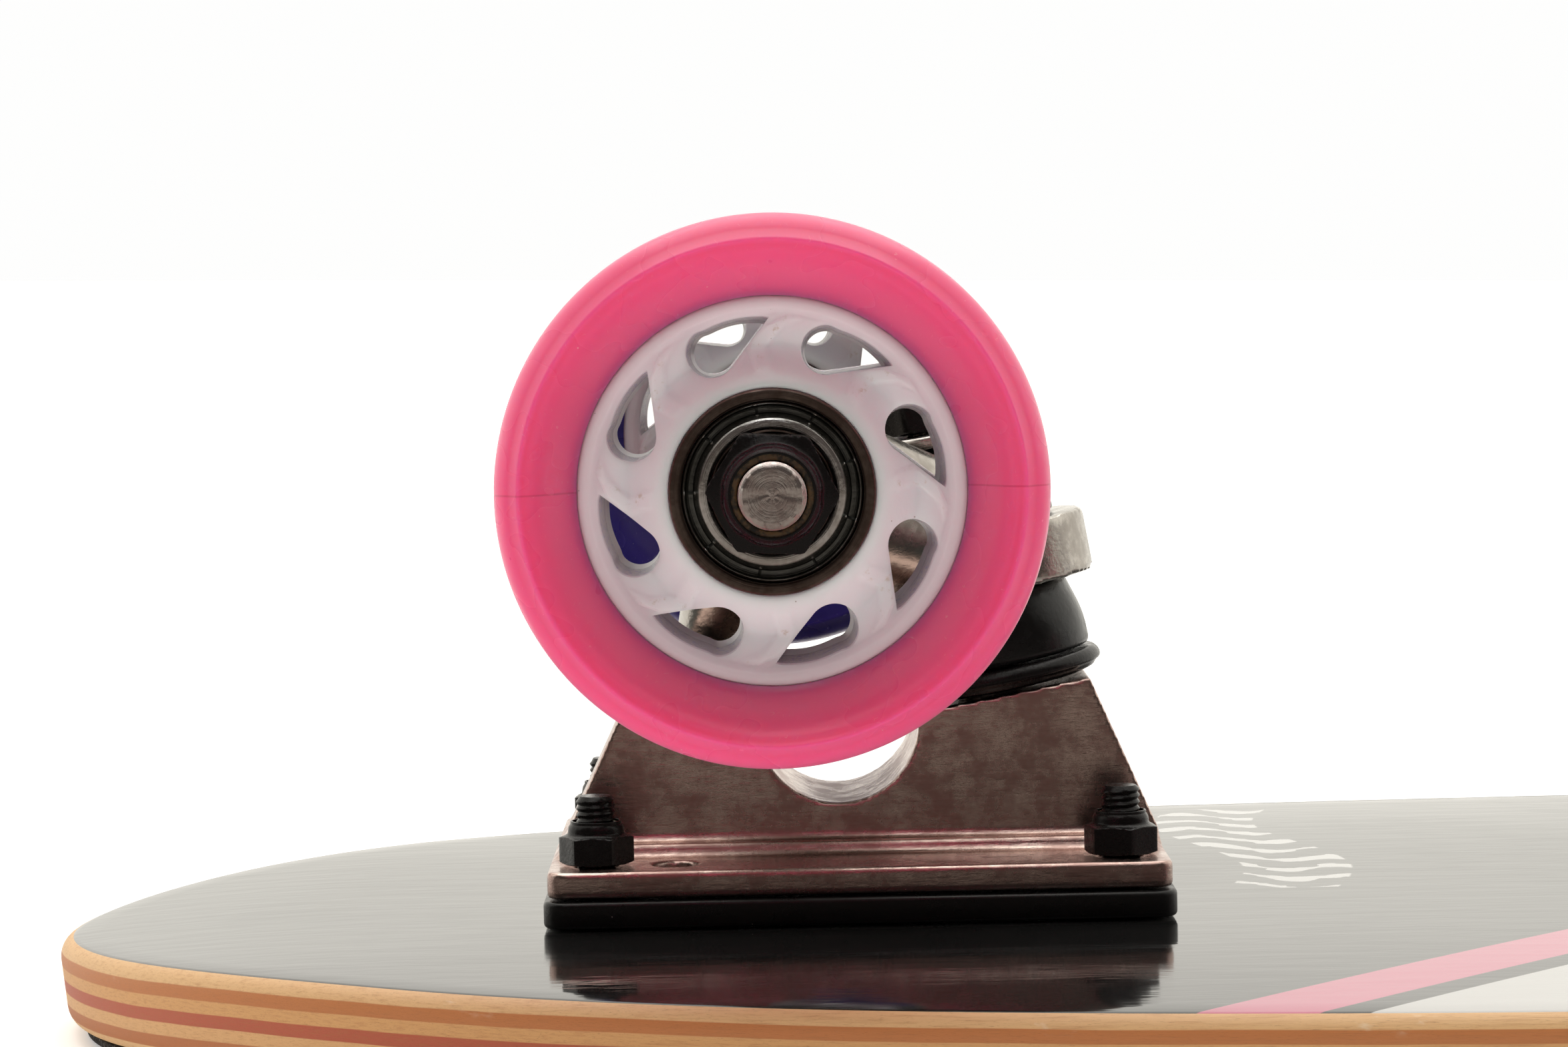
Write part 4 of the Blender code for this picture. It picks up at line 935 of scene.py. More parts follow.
def board_frame() -> Matrix:
    """The board's frame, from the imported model's underside mount: X to the tail, Z away from the underside."""
    mount = next(item for item in frame["record"]["mounts"] if item["name"] == "underside")
    up, across = Vector(mount["axis"]).normalized(), Vector((0, 1, 0))
    return Matrix.Translation(mount["pos_m"]) @ Matrix((across.cross(up), across, up)).transposed().to_4x4()


@dataclass(frozen=True)
class TruckPlan:
    """Where things are in a truck's own frame: X to the middle of the board, Z away from the deck."""

    ring: Vector = Vector((0.0149, 0, 0.0420))
    axle: Vector = Vector((-0.0095, 0, 0.0555))
    pivot: Vector = Vector((-0.0208, 0, 0.0250))
    saddle: tuple[float, float, float] = (-0.0021, 0.0229, 0.0099)
    kingpin_lean: float = 10.0
    gap: float = 0.0003
    riser: float = 0.0033
    plate: float = 0.0032
    bolts: tuple[float, float] = (0.03175, 0.02064)
    spare_x: float = 0.03175 - 0.05398
    wheel_y: float = 0.07615

    @property
    def plate_bottom(self) -> float:
        """Underside of the baseplate."""
        return 2 * self.gap + self.riser

    @property
    def plate_top(self) -> float:
        """Top of the baseplate's flange."""
        return self.plate_bottom + self.plate

    def frame_of(self, end: End, board: Matrix) -> Matrix:
        """The truck's frame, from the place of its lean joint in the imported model."""
        joint = next(item for item in frame["joints"] if item["name"] == f"{end.value}_truck_lean")
        facing = board.to_3x3().to_4x4() @ turn(180 if end is End.TAIL else 0, "Z")
        return Matrix.Translation(joint["pos_m"]) @ facing @ Matrix.Translation(-self.ring)

    def kingpin(self) -> Matrix:
        """The kingpin's frame: the middle of the hanger's ring, Z along the pin away from the deck."""
        return Matrix.Translation(self.ring) @ turn(-self.kingpin_lean, "Y")

    def stem(self) -> Matrix:
        """The stem's frame: the pivot ball's middle, Z towards the axle."""
        run = self.axle - self.pivot
        return Matrix.Translation(self.pivot) @ turn(math.degrees(math.atan2(run.x, run.z)), "Y")

    def along_axle(self) -> Matrix:
        """The axle's frame: Z along it, towards the truck's -Y side."""
        return Matrix.Translation(self.axle) @ turn(90, "X")


PLAN = TruckPlan()


@dataclass(frozen=True)
class PinStack:
    """Heights along the kingpin, from the middle of the hanger's ring."""

    ring: float = 0.0039
    gap: float = 0.0003
    bottom_bushing: float = 0.0088
    bottom_washer: float = 0.0028
    top_bushing: float = 0.0104
    top_washer: float = 0.0016
    seat_metal: float = 0.0105
    nut_height: float = 0.0078
    proud: float = 0.0015
    pin: float = 0.00476

    @property
    def cup_top(self) -> float:
        """Upper face of the cup washer, under the bottom bushing."""
        return -(self.ring + self.gap + self.bottom_bushing + self.gap)

    @property
    def seat(self) -> float:
        """The baseplate's seat."""
        return self.cup_top - self.bottom_washer - self.gap

    @property
    def head(self) -> float:
        """Upper face of the kingpin's head."""
        return self.seat - self.seat_metal - self.gap

    @property
    def lid(self) -> float:
        """Foot of the top washer."""
        return self.ring + self.gap + self.top_bushing + self.gap

    @property
    def nut(self) -> float:
        """Foot of the nut."""
        return self.lid + self.top_washer + self.gap

    @property
    def tip(self) -> float:
        """End of the pin."""
        return self.nut + self.nut_height + self.proud


STACK = PinStack()


# ---------------------------------------------------------------- fasteners


def subdivided(corners: Array, step: float, loop: bool = False) -> Array:
    """The polyline with points added so that none is further than a step from the next."""
    ends = np.vstack([corners, corners[:1]]) if loop else np.asarray(corners)
    pieces = []
    for first, last in zip(ends[:-1], ends[1:]):
        count = max(int(math.ceil(np.linalg.norm(last - first) / step)), 1)
        pieces.append(first + np.linspace(0, 1, count, endpoint=False)[:, None] * (last - first))
    return np.vstack(pieces if loop else [*pieces, ends[-1:]])


@dataclass(frozen=True)
class Thread:
    """A helical thread between two heights, cut into a shank."""

    low: float
    high: float
    shank: float
    pitch: float = 0.0009
    depth: float = 0.00022

    def __call__(self, radius: Array, turns: Array, height: Array) -> tuple[Array, Array]:
        """The radius, less the depth times a triangle wave of height / pitch - turn / 2 pi."""
        phase = (height / self.pitch - turns / (2 * math.pi)) % 1
        wave = 1 - np.abs(2 * phase - 1)
        fade = smooth((height - self.low) / self.pitch) * smooth((self.high - height) / (0.4 * self.pitch))
        cut = self.depth * wave * fade * (radius > 0.8 * self.shank)
        return radius - cut, height


@dataclass(frozen=True)
class LockNut:
    """A locking nut about Z with its foot at 0: a chamfered hexagon with a crimped round collar."""

    flats: float
    height: float
    bore: float
    mouth: float
    collar_foot: float = 0.66
    dent: float = 0.00035
    facing: float = 0.0

    def hexagon(self, turns: Array) -> Array:
        """Distance of the hexagon's side from the axis in each direction, its corners eased."""
        beside = (turns - self.facing + math.pi / 6) % (math.pi / 3) - math.pi / 6
        side = self.flats / 2 / np.cos(beside)
        return side - 0.0004 * self.flats * np.exp(-(((math.pi / 6 - np.abs(beside)) / 0.05) ** 2)) * 20

    def shape(self, radius: Array, turns: Array, height: Array) -> tuple[Array, Array]:
        """The turned profile held inside the hexagon, with six dents in the collar's shoulder."""
        foot = self.collar_foot * self.height
        near = np.exp(-((((turns - self.facing) * 3 / math.pi) % 1 - 0.5) ** 2) / 0.011)
        level = smooth((height - foot) / (0.25 * self.height)) * (radius > 1.1 * self.mouth)
        return np.minimum(radius, self.hexagon(turns)) - self.dent * near * level, height

    def shell(self, steps: int = 96) -> Shell:
        """The nut's body."""
        corner, half, foot = self.flats / math.sqrt(3), self.flats / 2, self.collar_foot * self.height
        collar, ease = 0.43 * self.flats, 0.05 * self.flats
        corners = np.array(
            [
                (self.bore, 0.0002),
                (self.bore + 0.0004, 0),
                (half - 0.0001, 0),
                (corner + 0.0001, 0.45 * (corner - half)),
                (corner + 0.0001, foot - 0.5 * (corner - half)),
                (half - 0.0002, foot),
                (collar, foot + 0.03 * self.flats),
                (collar - 0.2 * ease, self.height - 1.6 * ease),
                (collar - 1.7 * ease, self.height),
                (self.mouth, self.height),
                (self.mouth, self.height - 0.11 * self.flats),
                (self.bore, self.height - 0.12 * self.flats),
            ]
        )
        reach = [0, 0, 0.02, 0.03, 0.03, 0.04, 0.05, 0.13, 0.1, 0.015, 0.01, 0]
        profile = rounded(corners, np.array(reach) * self.flats, 6, loop=True)
        return revolve(subdivided(profile, 0.035 * self.flats, loop=True), steps, closed=True, shape=self.shape)


def ring_shell(inner: float, outer: float, low: float, high: float, ease: float, steps: int = 64) -> Shell:
    """A plain ring about Z with eased edges."""
    corners = [(inner, low), (outer, low), (outer, high), (inner, high)]
    return revolve(rounded(np.array(corners), ease, 4, loop=True), steps, closed=True)


def rod_shell(radius: float, low: float, high: float, steps: int = 48) -> Shell:
    """A plain cylinder about Z."""
    return revolve(np.array([(0, low), (radius, low), (radius, high), (0, high)]), steps)


# ---------------------------------------------------------------- deck


@dataclass
class Deck(Assembly):
    """The board and its grip tape. Flat coordinates are (x, y, -depth); bent() lays them over the kicks."""

    length: float = 0.6925
    width: float = 0.194
    thickness: float = 0.0108
    edge_round: float = 0.0025
    tape: float = 0.001
    tape_inset: float = 0.002

    def half_width(self, x: Array) -> Array:
        """W/2 sqrt(1 - exp(-(s/a)^1.1)) from the nose, drawn in along an ellipse to the blunt tail."""
        from_nose = np.maximum(x + self.length / 2, 0)
        from_tail = np.clip((self.length / 2 - x) / 0.150, 0, 1)
        nose = np.sqrt(1 - np.exp(-((from_nose / 0.0695) ** 1.1)))
        return self.width / 2 * nose * (0.44 + 0.56 * np.sqrt(1 - (1 - from_tail) ** 2))

    def height(self, x: Array, y: Array) -> Array:
        """Height of the underside: a slight nose kick, a deeper tail kick, a slight concave."""
        nose = np.maximum(1 - (x + self.length / 2) / 0.046, 0)
        tail = np.maximum(1 - (self.length / 2 - x) / 0.124, 0)
        rail = np.maximum(np.abs(y) - 0.036, 0) / (self.width / 2 - 0.036)
        return -(0.0025 * nose**2 + 0.017 * tail**1.6 + 0.001 * rail**2)

    def normal(self, x: Array, y: Array) -> Array:
        """Unit normals of the underside, by central differences of its height."""
        step = 0.0005
        slope_x = (self.height(x + step, y) - self.height(x - step, y)) / (2 * step)
        slope_y = (self.height(x, y + step) - self.height(x, y - step)) / (2 * step)
        rows = np.stack([-slope_x, -slope_y, np.ones_like(x)], axis=-1)
        return rows / np.linalg.norm(rows, axis=-1, keepdims=True)

    def bent(self, flat: Array) -> Array:
        """Flat points laid square under the underside's surface."""
        x, y = flat[:, 0], flat[:, 1]
        base = np.stack([x, y, self.height(x, y)], axis=1)
        return base + flat[:, 2:3] * self.normal(x, y)

    def unbent(self, points: Array) -> Array:
        """The flat coordinates of points of the deck, found in three steps."""
        flat = points.copy()
        for _ in range(3):
            gap = points - np.stack([flat[:, 0], flat[:, 1], self.height(flat[:, 0], flat[:, 1])], axis=1)
            normal = self.normal(flat[:, 0], flat[:, 1])
            flat[:, 2] = np.einsum("ij,ij->i", gap, normal)
            flat[:, :2] += (gap - flat[:, 2:3] * normal)[:, :2]
        return flat

    def outline(self, count: int = 260) -> tuple[Array, Array]:
        """The deck's edge as a loop from the nose's tip, with its outward normals."""
        x = -self.length / 2 * np.cos(np.linspace(0, math.pi, count))
        side = np.stack([x, self.half_width(x)], axis=1)
        across = np.linspace(side[-1, 1], -side[-1, 1], 26)[1:-1]
        edge = np.stack([np.full(24, self.length / 2), across], axis=1)
        loop = np.vstack([side, edge, (side * (1, -1))[::-1][:-1]])
        along = np.roll(loop, -1, axis=0) - np.roll(loop, 1, axis=0)
        along /= np.linalg.norm(along, axis=1, keepdims=True)
        return loop, np.stack([-along[:, 1], along[:, 0]], axis=1)

    def layer(self, section: Array) -> Shell:
        """A layer with this (inset, height) edge section, its faces closed along the middle line."""
        loop, normals = self.outline()
        middles = np.stack([loop[:, 0] * 0.8 - 0.006, 0 * loop[:, 0]], axis=1)
        flat = swept_plate(loop, normals, section, middles, 20)
        return Shell(self.bent(flat.points), flat.faces)

    def edge_section(self, top: float, bottom: float, round_top: float, round_bottom: float, inset: float) -> Array:
        """(inset, height) of an edge with quarter rounds above and below."""
        quarter = np.linspace(0, math.pi / 2, 9)
        upper = np.stack([round_top * (1 - np.sin(quarter)), top - round_top * (1 - np.cos(quarter))], axis=1)
        lower = np.stack([round_bottom * (1 - np.cos(quarter)), bottom + round_bottom * (1 - np.sin(quarter))], axis=1)
        between = np.linspace(upper[-1], lower[0], 10)[1:-1]
        return np.vstack([upper, between, lower]) + (inset, 0)

    def bolt_tools(self, trucks: Iterable[Matrix], shank: bool) -> bpy.types.Mesh:
        """Cutters for the mounting bolts, in the board's frame."""
        foot = -self.thickness - PLAN.gap - self.tape
        sink_top, hole, sink = foot + 0.0026 + PLAN.gap, 0.0024 + PLAN.gap, 0.0046 + PLAN.gap
        profile = [(0, -0.03), (sink, -0.03), (sink, sink_top), (hole, sink_top), (hole, 0.02), (0, 0.02)]
        profile = np.array(profile if shank else [*profile[:3], (0, sink_top)])
        tool = revolve(profile, 32)
        places = [truck @ shift(x, y, 0) for truck in trucks for x in (-PLAN.bolts[0], PLAN.bolts[0]) for y in (-PLAN.bolts[1], PLAN.bolts[1])]
        return mesh_of([tool.moved(self.place.inverted() @ place) for place in places], "bolt holes")

    def build(self, trucks: Iterable[Matrix]) -> None:
        """The deck and the tape, with the bolt holes through both."""
        trucks = list(trucks)
        section = self.edge_section(0, -self.thickness, self.edge_round, self.edge_round, 0)
        wood = Workshop(mesh_of(self.layer(section), "deck")).combine("DIFFERENCE", self.bolt_tools(trucks, True)).taken()
        own = self.unbent(coordinates(wood))
        self.piece("board_deck", wood, PLY, ("deck",), own=own)
        top = -self.thickness - PLAN.gap
        section = self.edge_section(top, top - self.tape, 0.0001, 0.0003, self.tape_inset)
        tape = Workshop(mesh_of(self.layer(section), "tape")).combine("DIFFERENCE", self.bolt_tools(trucks, False)).taken()
        self.piece("board_grip", tape, GRIT, ("grip_tape",), own=self.unbent(coordinates(tape)))


# ---------------------------------------------------------------- truck, the parts fixed to the deck


def prism_mesh(name: str, outline: Array, low: float, high: float) -> bpy.types.Mesh:
    """A closed (x, z) outline given a width along Y."""
    count = len(outline)
    rings = [np.stack([outline[:, 0], np.full(count, y), outline[:, 1]], axis=1) for y in (low, high)]
    index = np.arange(count)
    after = (index + 1) % count
    sides = np.stack([index, after, after + count, index + count], axis=1).tolist()
    mesh = bpy.data.meshes.new(name)
    mesh.from_pydata(np.vstack(rings).tolist(), [], [*sides, index[::-1].tolist(), (index + count).tolist()])
    work = bmesh.new()
    work.from_mesh(mesh)
    bmesh.ops.recalc_face_normals(work, faces=work.faces)
    work.to_mesh(mesh)
    work.free()
    return mesh


def block_mesh(name: str, length: float, width: float, radius: float, low: float, high: float) -> bpy.types.Mesh:
    """A plain rectangular plate with round corners."""
    outline, normals = rounded_rectangle(length, width, radius)
    section = np.array([(0, high), (0, low)])
    return mesh_of(swept_plate(outline, normals, section, np.zeros_like(outline), 2), name)


@dataclass
class TruckBase(Assembly):
    """Riser, baseplate, pivot cup, kingpin with its stack, and mounting bolts, which all ride on the board."""

    end: End = End.NOSE
    sides: tuple[Side, Side] = (Side.RIGHT, Side.LEFT)

    def name(self, part: str) -> str:
        """The node's name."""
        return f"{self.end.value}_{part}"

    def holes(self, margin: float = 0.0003) -> list[Shell]:
        """Rods through the four bolt holes and the two spare ones."""
        places = [(x, y) for x in (-PLAN.bolts[0], PLAN.bolts[0], PLAN.spare_x) for y in (-PLAN.bolts[1], PLAN.bolts[1])]
        rod = rod_shell(0.0024 + margin, -0.01, 0.02, 32)
        return [rod.moved(shift(x, y, 0)) for x, y in places]

    def build_riser(self) -> None:
        """The soft pad between deck and baseplate."""
        outline, normals = rounded_rectangle(0.0762, 0.056, 0.0028, 10)
        quarter = np.linspace(0, math.pi / 2, 5)
        ease = 0.0006
        upper = np.stack([ease * (1 - np.sin(quarter)), -ease * (1 - np.cos(quarter))], axis=1)
        lower = (upper * (1, -1))[::-1]
        section = np.vstack([upper + (0, PLAN.gap + PLAN.riser), lower + (0, PLAN.gap)])
        plate = mesh_of(swept_plate(outline, normals, section, np.zeros_like(outline), 8), "riser")
        riser = Workshop(plate).combine("DIFFERENCE", mesh_of(self.holes(), "holes")).taken()
        self.piece(self.name("truck_riser"), riser, RISER, (self.name("riser_pad"),))

    def side_view(self) -> Array:
        """(x, z) of the casting: pivot tower, round saddle, kingpin tower with its sloping seat."""
        saddle_x, saddle_z, saddle_r = PLAN.saddle
        turns = np.linspace(math.pi, 2 * math.pi, 25)
        saddle = np.stack([saddle_x + saddle_r * np.cos(turns), saddle_z + saddle_r * np.sin(turns)], axis=1)
        lean = math.radians(PLAN.kingpin_lean)
        seat_x = PLAN.ring.x - STACK.seat * math.sin(lean)
        seat_z = PLAN.ring.z + STACK.seat * math.cos(lean)
        edge = saddle_x + saddle_r
        half = 0.0376
        return np.array(
            [
                (-half, PLAN.plate_bottom + PLAN.plate / 2),
                (-half + 0.0005, PLAN.plate_top),
                (PLAN.pivot.x - 0.0052, PLAN.pivot.z + 0.0053),
                (PLAN.pivot.x + 0.0083, PLAN.pivot.z + 0.0004),
                *saddle,
                (edge + 0.0008, seat_z + (edge - seat_x) * math.tan(lean)),
                (seat_x + 0.0112, seat_z + 0.0112 * math.tan(lean)),
                (half - 0.0005, PLAN.plate_top + 0.0020),
                (half, PLAN.plate_bottom + PLAN.plate / 2),
            ]
        )

    def build_baseplate(self) -> None:
        """The casting: flange, plinth and block in one, with its bores."""
        flange = block_mesh("flange", 0.0752, 0.055, 0.0022, PLAN.plate_bottom, PLAN.plate_top)
        middle = (PLAN.plate_bottom + PLAN.plate_top) / 2
        plinth = block_mesh("plinth", 0.0732, 0.029, 0.001, middle, PLAN.plate_top + 0.0016)
        block = prism_mesh("block", self.side_view(), -0.012, 0.012)
        tools = [plinth, block]
        pin, stem = PLAN.kingpin(), PLAN.stem()
        cuts = [
            mesh_of(self.holes(), "holes"),
            mesh_of(rod_shell(STACK.pin + 0.0003, 2 * STACK.head, 0).moved(pin), "bore"),
            mesh_of(rod_shell(0.0088, 2 * STACK.head, STACK.head + 0.0003).moved(pin), "pocket"),
            mesh_of(rod_shell(0.0067, -0.0078, 0.02).moved(stem), "pivot seat"),
        ]
        bench = Workshop(flange).combine("UNION", *tools).combine("DIFFERENCE", *cuts)
        casting = cast(bench.taken(), 0.00046, 1)
        self.piece(self.name("truck_plate"), casting, BASEPLATE, (self.name("baseplate"),), sharp_degrees=180)

    def build_pivot_cup(self) -> None:
        """The cup that holds the hanger's ball."""
        hollow = 0.0050
        turns = np.radians(np.linspace(-90, 0, 16))
        floor = np.stack([hollow * np.cos(turns), hollow * np.sin(turns)], axis=1)
        outside = rounded(np.array([(hollow + 0.0007, 0.0028), (0.0064, 0.0028), (0.0064, -0.0075), (0, -0.0075)]), 0.0004)
        cup = mesh_of(revolve(np.vstack([floor, outside]), 64), "cup")
        self.piece(self.name("truck_cup"), cup, BUSHING, (self.name("pivot_cup"),), self.place @ PLAN.stem())

    def build_kingpin(self) -> None:
        """The pin with its hexagon head in the pocket and a thread at the top."""
        radius, head_foot = STACK.pin, STACK.head - 0.0056
        corner = 0.0143 / math.sqrt(3)
        corners = [(0, head_foot), (corner, head_foot), (corner, STACK.head), (radius, STACK.head)]
        shank = subdivided(np.array([(radius, STACK.head), (radius, STACK.lid), (radius, STACK.tip - 0.0008)]), 0.0002)
        tip = [(radius - 0.0008, STACK.tip), (0, STACK.tip)]
        profile = np.vstack([subdivided(np.array(corners), 0.0006)[:-1], shank, tip])
        thread = Thread(STACK.lid, STACK.tip + 0.001, radius, 0.00106, 0.0003)
        hexagon = LockNut(0.0143, 1, 0, 0).hexagon

        def shape(radii: Array, turns: Array, heights: Array) -> tuple[Array, Array]:
            """The thread, and the head held inside a hexagon."""
            cut, heights = thread(radii, turns, heights)
            return np.where(heights < STACK.head + 1e-5, np.minimum(cut, hexagon(turns)), cut), heights

        pin = mesh_of(revolve(profile, 48, shape=shape), "pin")
        self.piece(self.name("truck_pin"), pin, AXLE, (self.name("kingpin"),), self.place @ PLAN.kingpin())

    def build_stack(self) -> None:
        """Bushings, washers and nut on the pin."""
        bore = STACK.pin + STACK.gap
        top, bottom = -(STACK.ring + STACK.gap), STACK.cup_top + STACK.gap
        place = self.place @ PLAN.kingpin()
        lower = [(bore, top), (0.0112, top), (0.0127, 0.45 * top + 0.55 * bottom), (0.0128, bottom), (bore, bottom)]
        lower = rounded(np.array(lower), [0, 0.0006, 0.003, 0.0009, 0], 8, loop=True)
        foot, crown = STACK.ring + STACK.gap, STACK.lid - STACK.gap
        upper = [(bore, foot), (0.0115, foot), (0.0112, foot + 0.0022), (0.0088, crown), (bore, crown)]
        upper = rounded(np.array(upper), [0, 0.0007, 0.0015, 0.0009, 0], 8, loop=True)
        cup_low = STACK.cup_top - STACK.bottom_washer
        cup = [
            (bore, STACK.cup_top),
            (0.0131, STACK.cup_top),
            (0.0135, STACK.cup_top - 0.0004),
            (0.0138, STACK.cup_top - 0.0009),
            (0.0138, STACK.cup_top - 0.0016),
            (0.0132, STACK.cup_top - 0.0019),
            (0.0129, cup_low + 0.0004),
            (0.0117, cup_low),
            (bore, cup_low),
        ]
        cup = rounded(np.array(cup), [0, 0.0003, 0.0003, 0.0003, 0.0003, 0.0003, 0.0003, 0.0006, 0], 5, loop=True)
        lid = [(bore, STACK.lid), (0.0102, STACK.lid), (0.0102, STACK.lid + STACK.top_washer), (bore, STACK.lid + STACK.top_washer)]
        lid = rounded(np.array(lid), [0, 0.0003, 0.0006, 0.0002], 5, loop=True)
        turned = {
            "lower_bushing": (lower, BUSHING, "bottom_bushing"),
            "upper_bushing": (upper, BUSHING, "top_bushing"),
            "cup_washer": (cup, BLACK_STEEL, "bottom_washer"),
            "lid_washer": (lid, PLAIN_STEEL, "top_washer"),
        }
        for name, (profile, finish, node) in turned.items():
            mesh = mesh_of(revolve(profile, 112, closed=True), name)
            self.piece(self.name(f"truck_{name}"), mesh, finish, (self.name(node),), place)
        nut = LockNut(0.0143, STACK.nut_height, bore, 0.0056, facing=0.4)
        ring = ring_shell(STACK.pin + 0.0001, 0.00555, STACK.nut_height - 0.0017, STACK.nut_height - 0.0005, 0.0003)
        self.fasten("truck_pin_nut", nut, ring, "kingpin_nut", place @ shift(0, 0, STACK.nut))

    def fasten(self, name: str, nut: LockNut, ring: Shell, node: str, place: Matrix) -> None:
        """A nut with the nylon ring in its mouth."""
        self.piece(self.name(name), mesh_of(nut.shell(), name), BLACK_STEEL, (self.name(node),), place)
        self.piece(self.name(f"{name}_nylon"), mesh_of(ring, name), NYLON, (), place)

    def build_bolts(self) -> None:
        """Four bolts from the grip side, with a cross recess in the head, and their nuts."""
        radius, head, head_height = 0.0024, 0.0046, 0.0026
        foot = -0.0108 - PLAN.gap - 0.001
        nut_foot, nut_height = PLAN.plate_top + PLAN.gap, 0.0052
        tip = nut_foot + nut_height + 0.0030
        face = np.stack([np.linspace(0, head - 0.0003, 26), np.full(26, foot)], axis=1)
        flank = [(head, foot + 0.0004), (radius, foot + head_height)]
        shank = subdivided(np.array([(radius, foot + head_height), (radius, nut_foot - 0.002)]), 0.002)[1:]
        threaded = subdivided(np.array([(radius, nut_foot - 0.002), (radius, tip - 0.0004)]), 0.00013)[1:]
        profile = np.vstack([face, flank, shank, threaded, [(radius - 0.0005, tip), (0, tip)]])
        thread = Thread(nut_foot - 0.001, tip + 0.001, radius, 0.0008, 0.0003)

        def shape(radii: Array, turns: Array, heights: Array) -> tuple[Array, Array]:
            """The thread, and a cross pressed into the head's face."""
            radii, heights = thread(radii, turns, heights)
            beside = np.minimum(np.abs(radii * np.sin(turns)), np.abs(radii * np.cos(turns)))
            cross = smooth((0.0006 - beside) / 0.0002) * smooth((0.0026 - radii) / 0.0012)
            return radii, heights + 0.0016 * cross * (heights < foot + 1e-6)

        bolt = revolve(profile, 64, shape=shape)
        nut = LockNut(0.0080, nut_height, radius + PLAN.gap, 0.0031, dent=0.0001)
        ring = ring_shell(radius + 0.0001, 0.00305, nut_height - 0.0010, nut_height - 0.0003, 0.0002, 48)
        for row, x in (("outer", -1), ("inner", 1)):
            for side, y in zip(self.sides, (-1, 1)):
                place = self.place @ shift(x * PLAN.bolts[0], y * PLAN.bolts[1], 0) @ turn(23 * x + 11 * y, "Z")
                label = f"{row}_{side.value}"
                node = self.name(f"bolt_{label}")
                self.piece(self.name(f"truck_screw_{label}"), mesh_of(bolt, "bolt"), BLACK_STEEL, (node,), place)
                self.fasten(f"truck_lock_{label}", nut, ring, f"bolt_nut_{label}", place @ shift(0, 0, nut_foot))

    def build(self) -> None:
        """Every piece that this end of the board carries."""
        self.build_riser()
        self.build_baseplate()
        self.build_pivot_cup()
        self.build_kingpin()
        self.build_stack()
        self.build_bolts()


# ---------------------------------------------------------------- truck, the parts that lean


def circle_points(centre: Vector, axis: Vector, radius: float, count: int) -> Array:
    """Points around a circle about an axis, which lies in the XZ plane or along Y."""
    beside = Vector((1, 0, 0)) if abs(axis.y) > 0.5 else Vector((0, 1, 0))
    other = axis.cross(beside)
    turns = np.linspace(0, 2 * math.pi, count, endpoint=False)[:, None]
    return np.array(centre) + radius * (np.cos(turns) * np.array(beside) + np.sin(turns) * np.array(other))


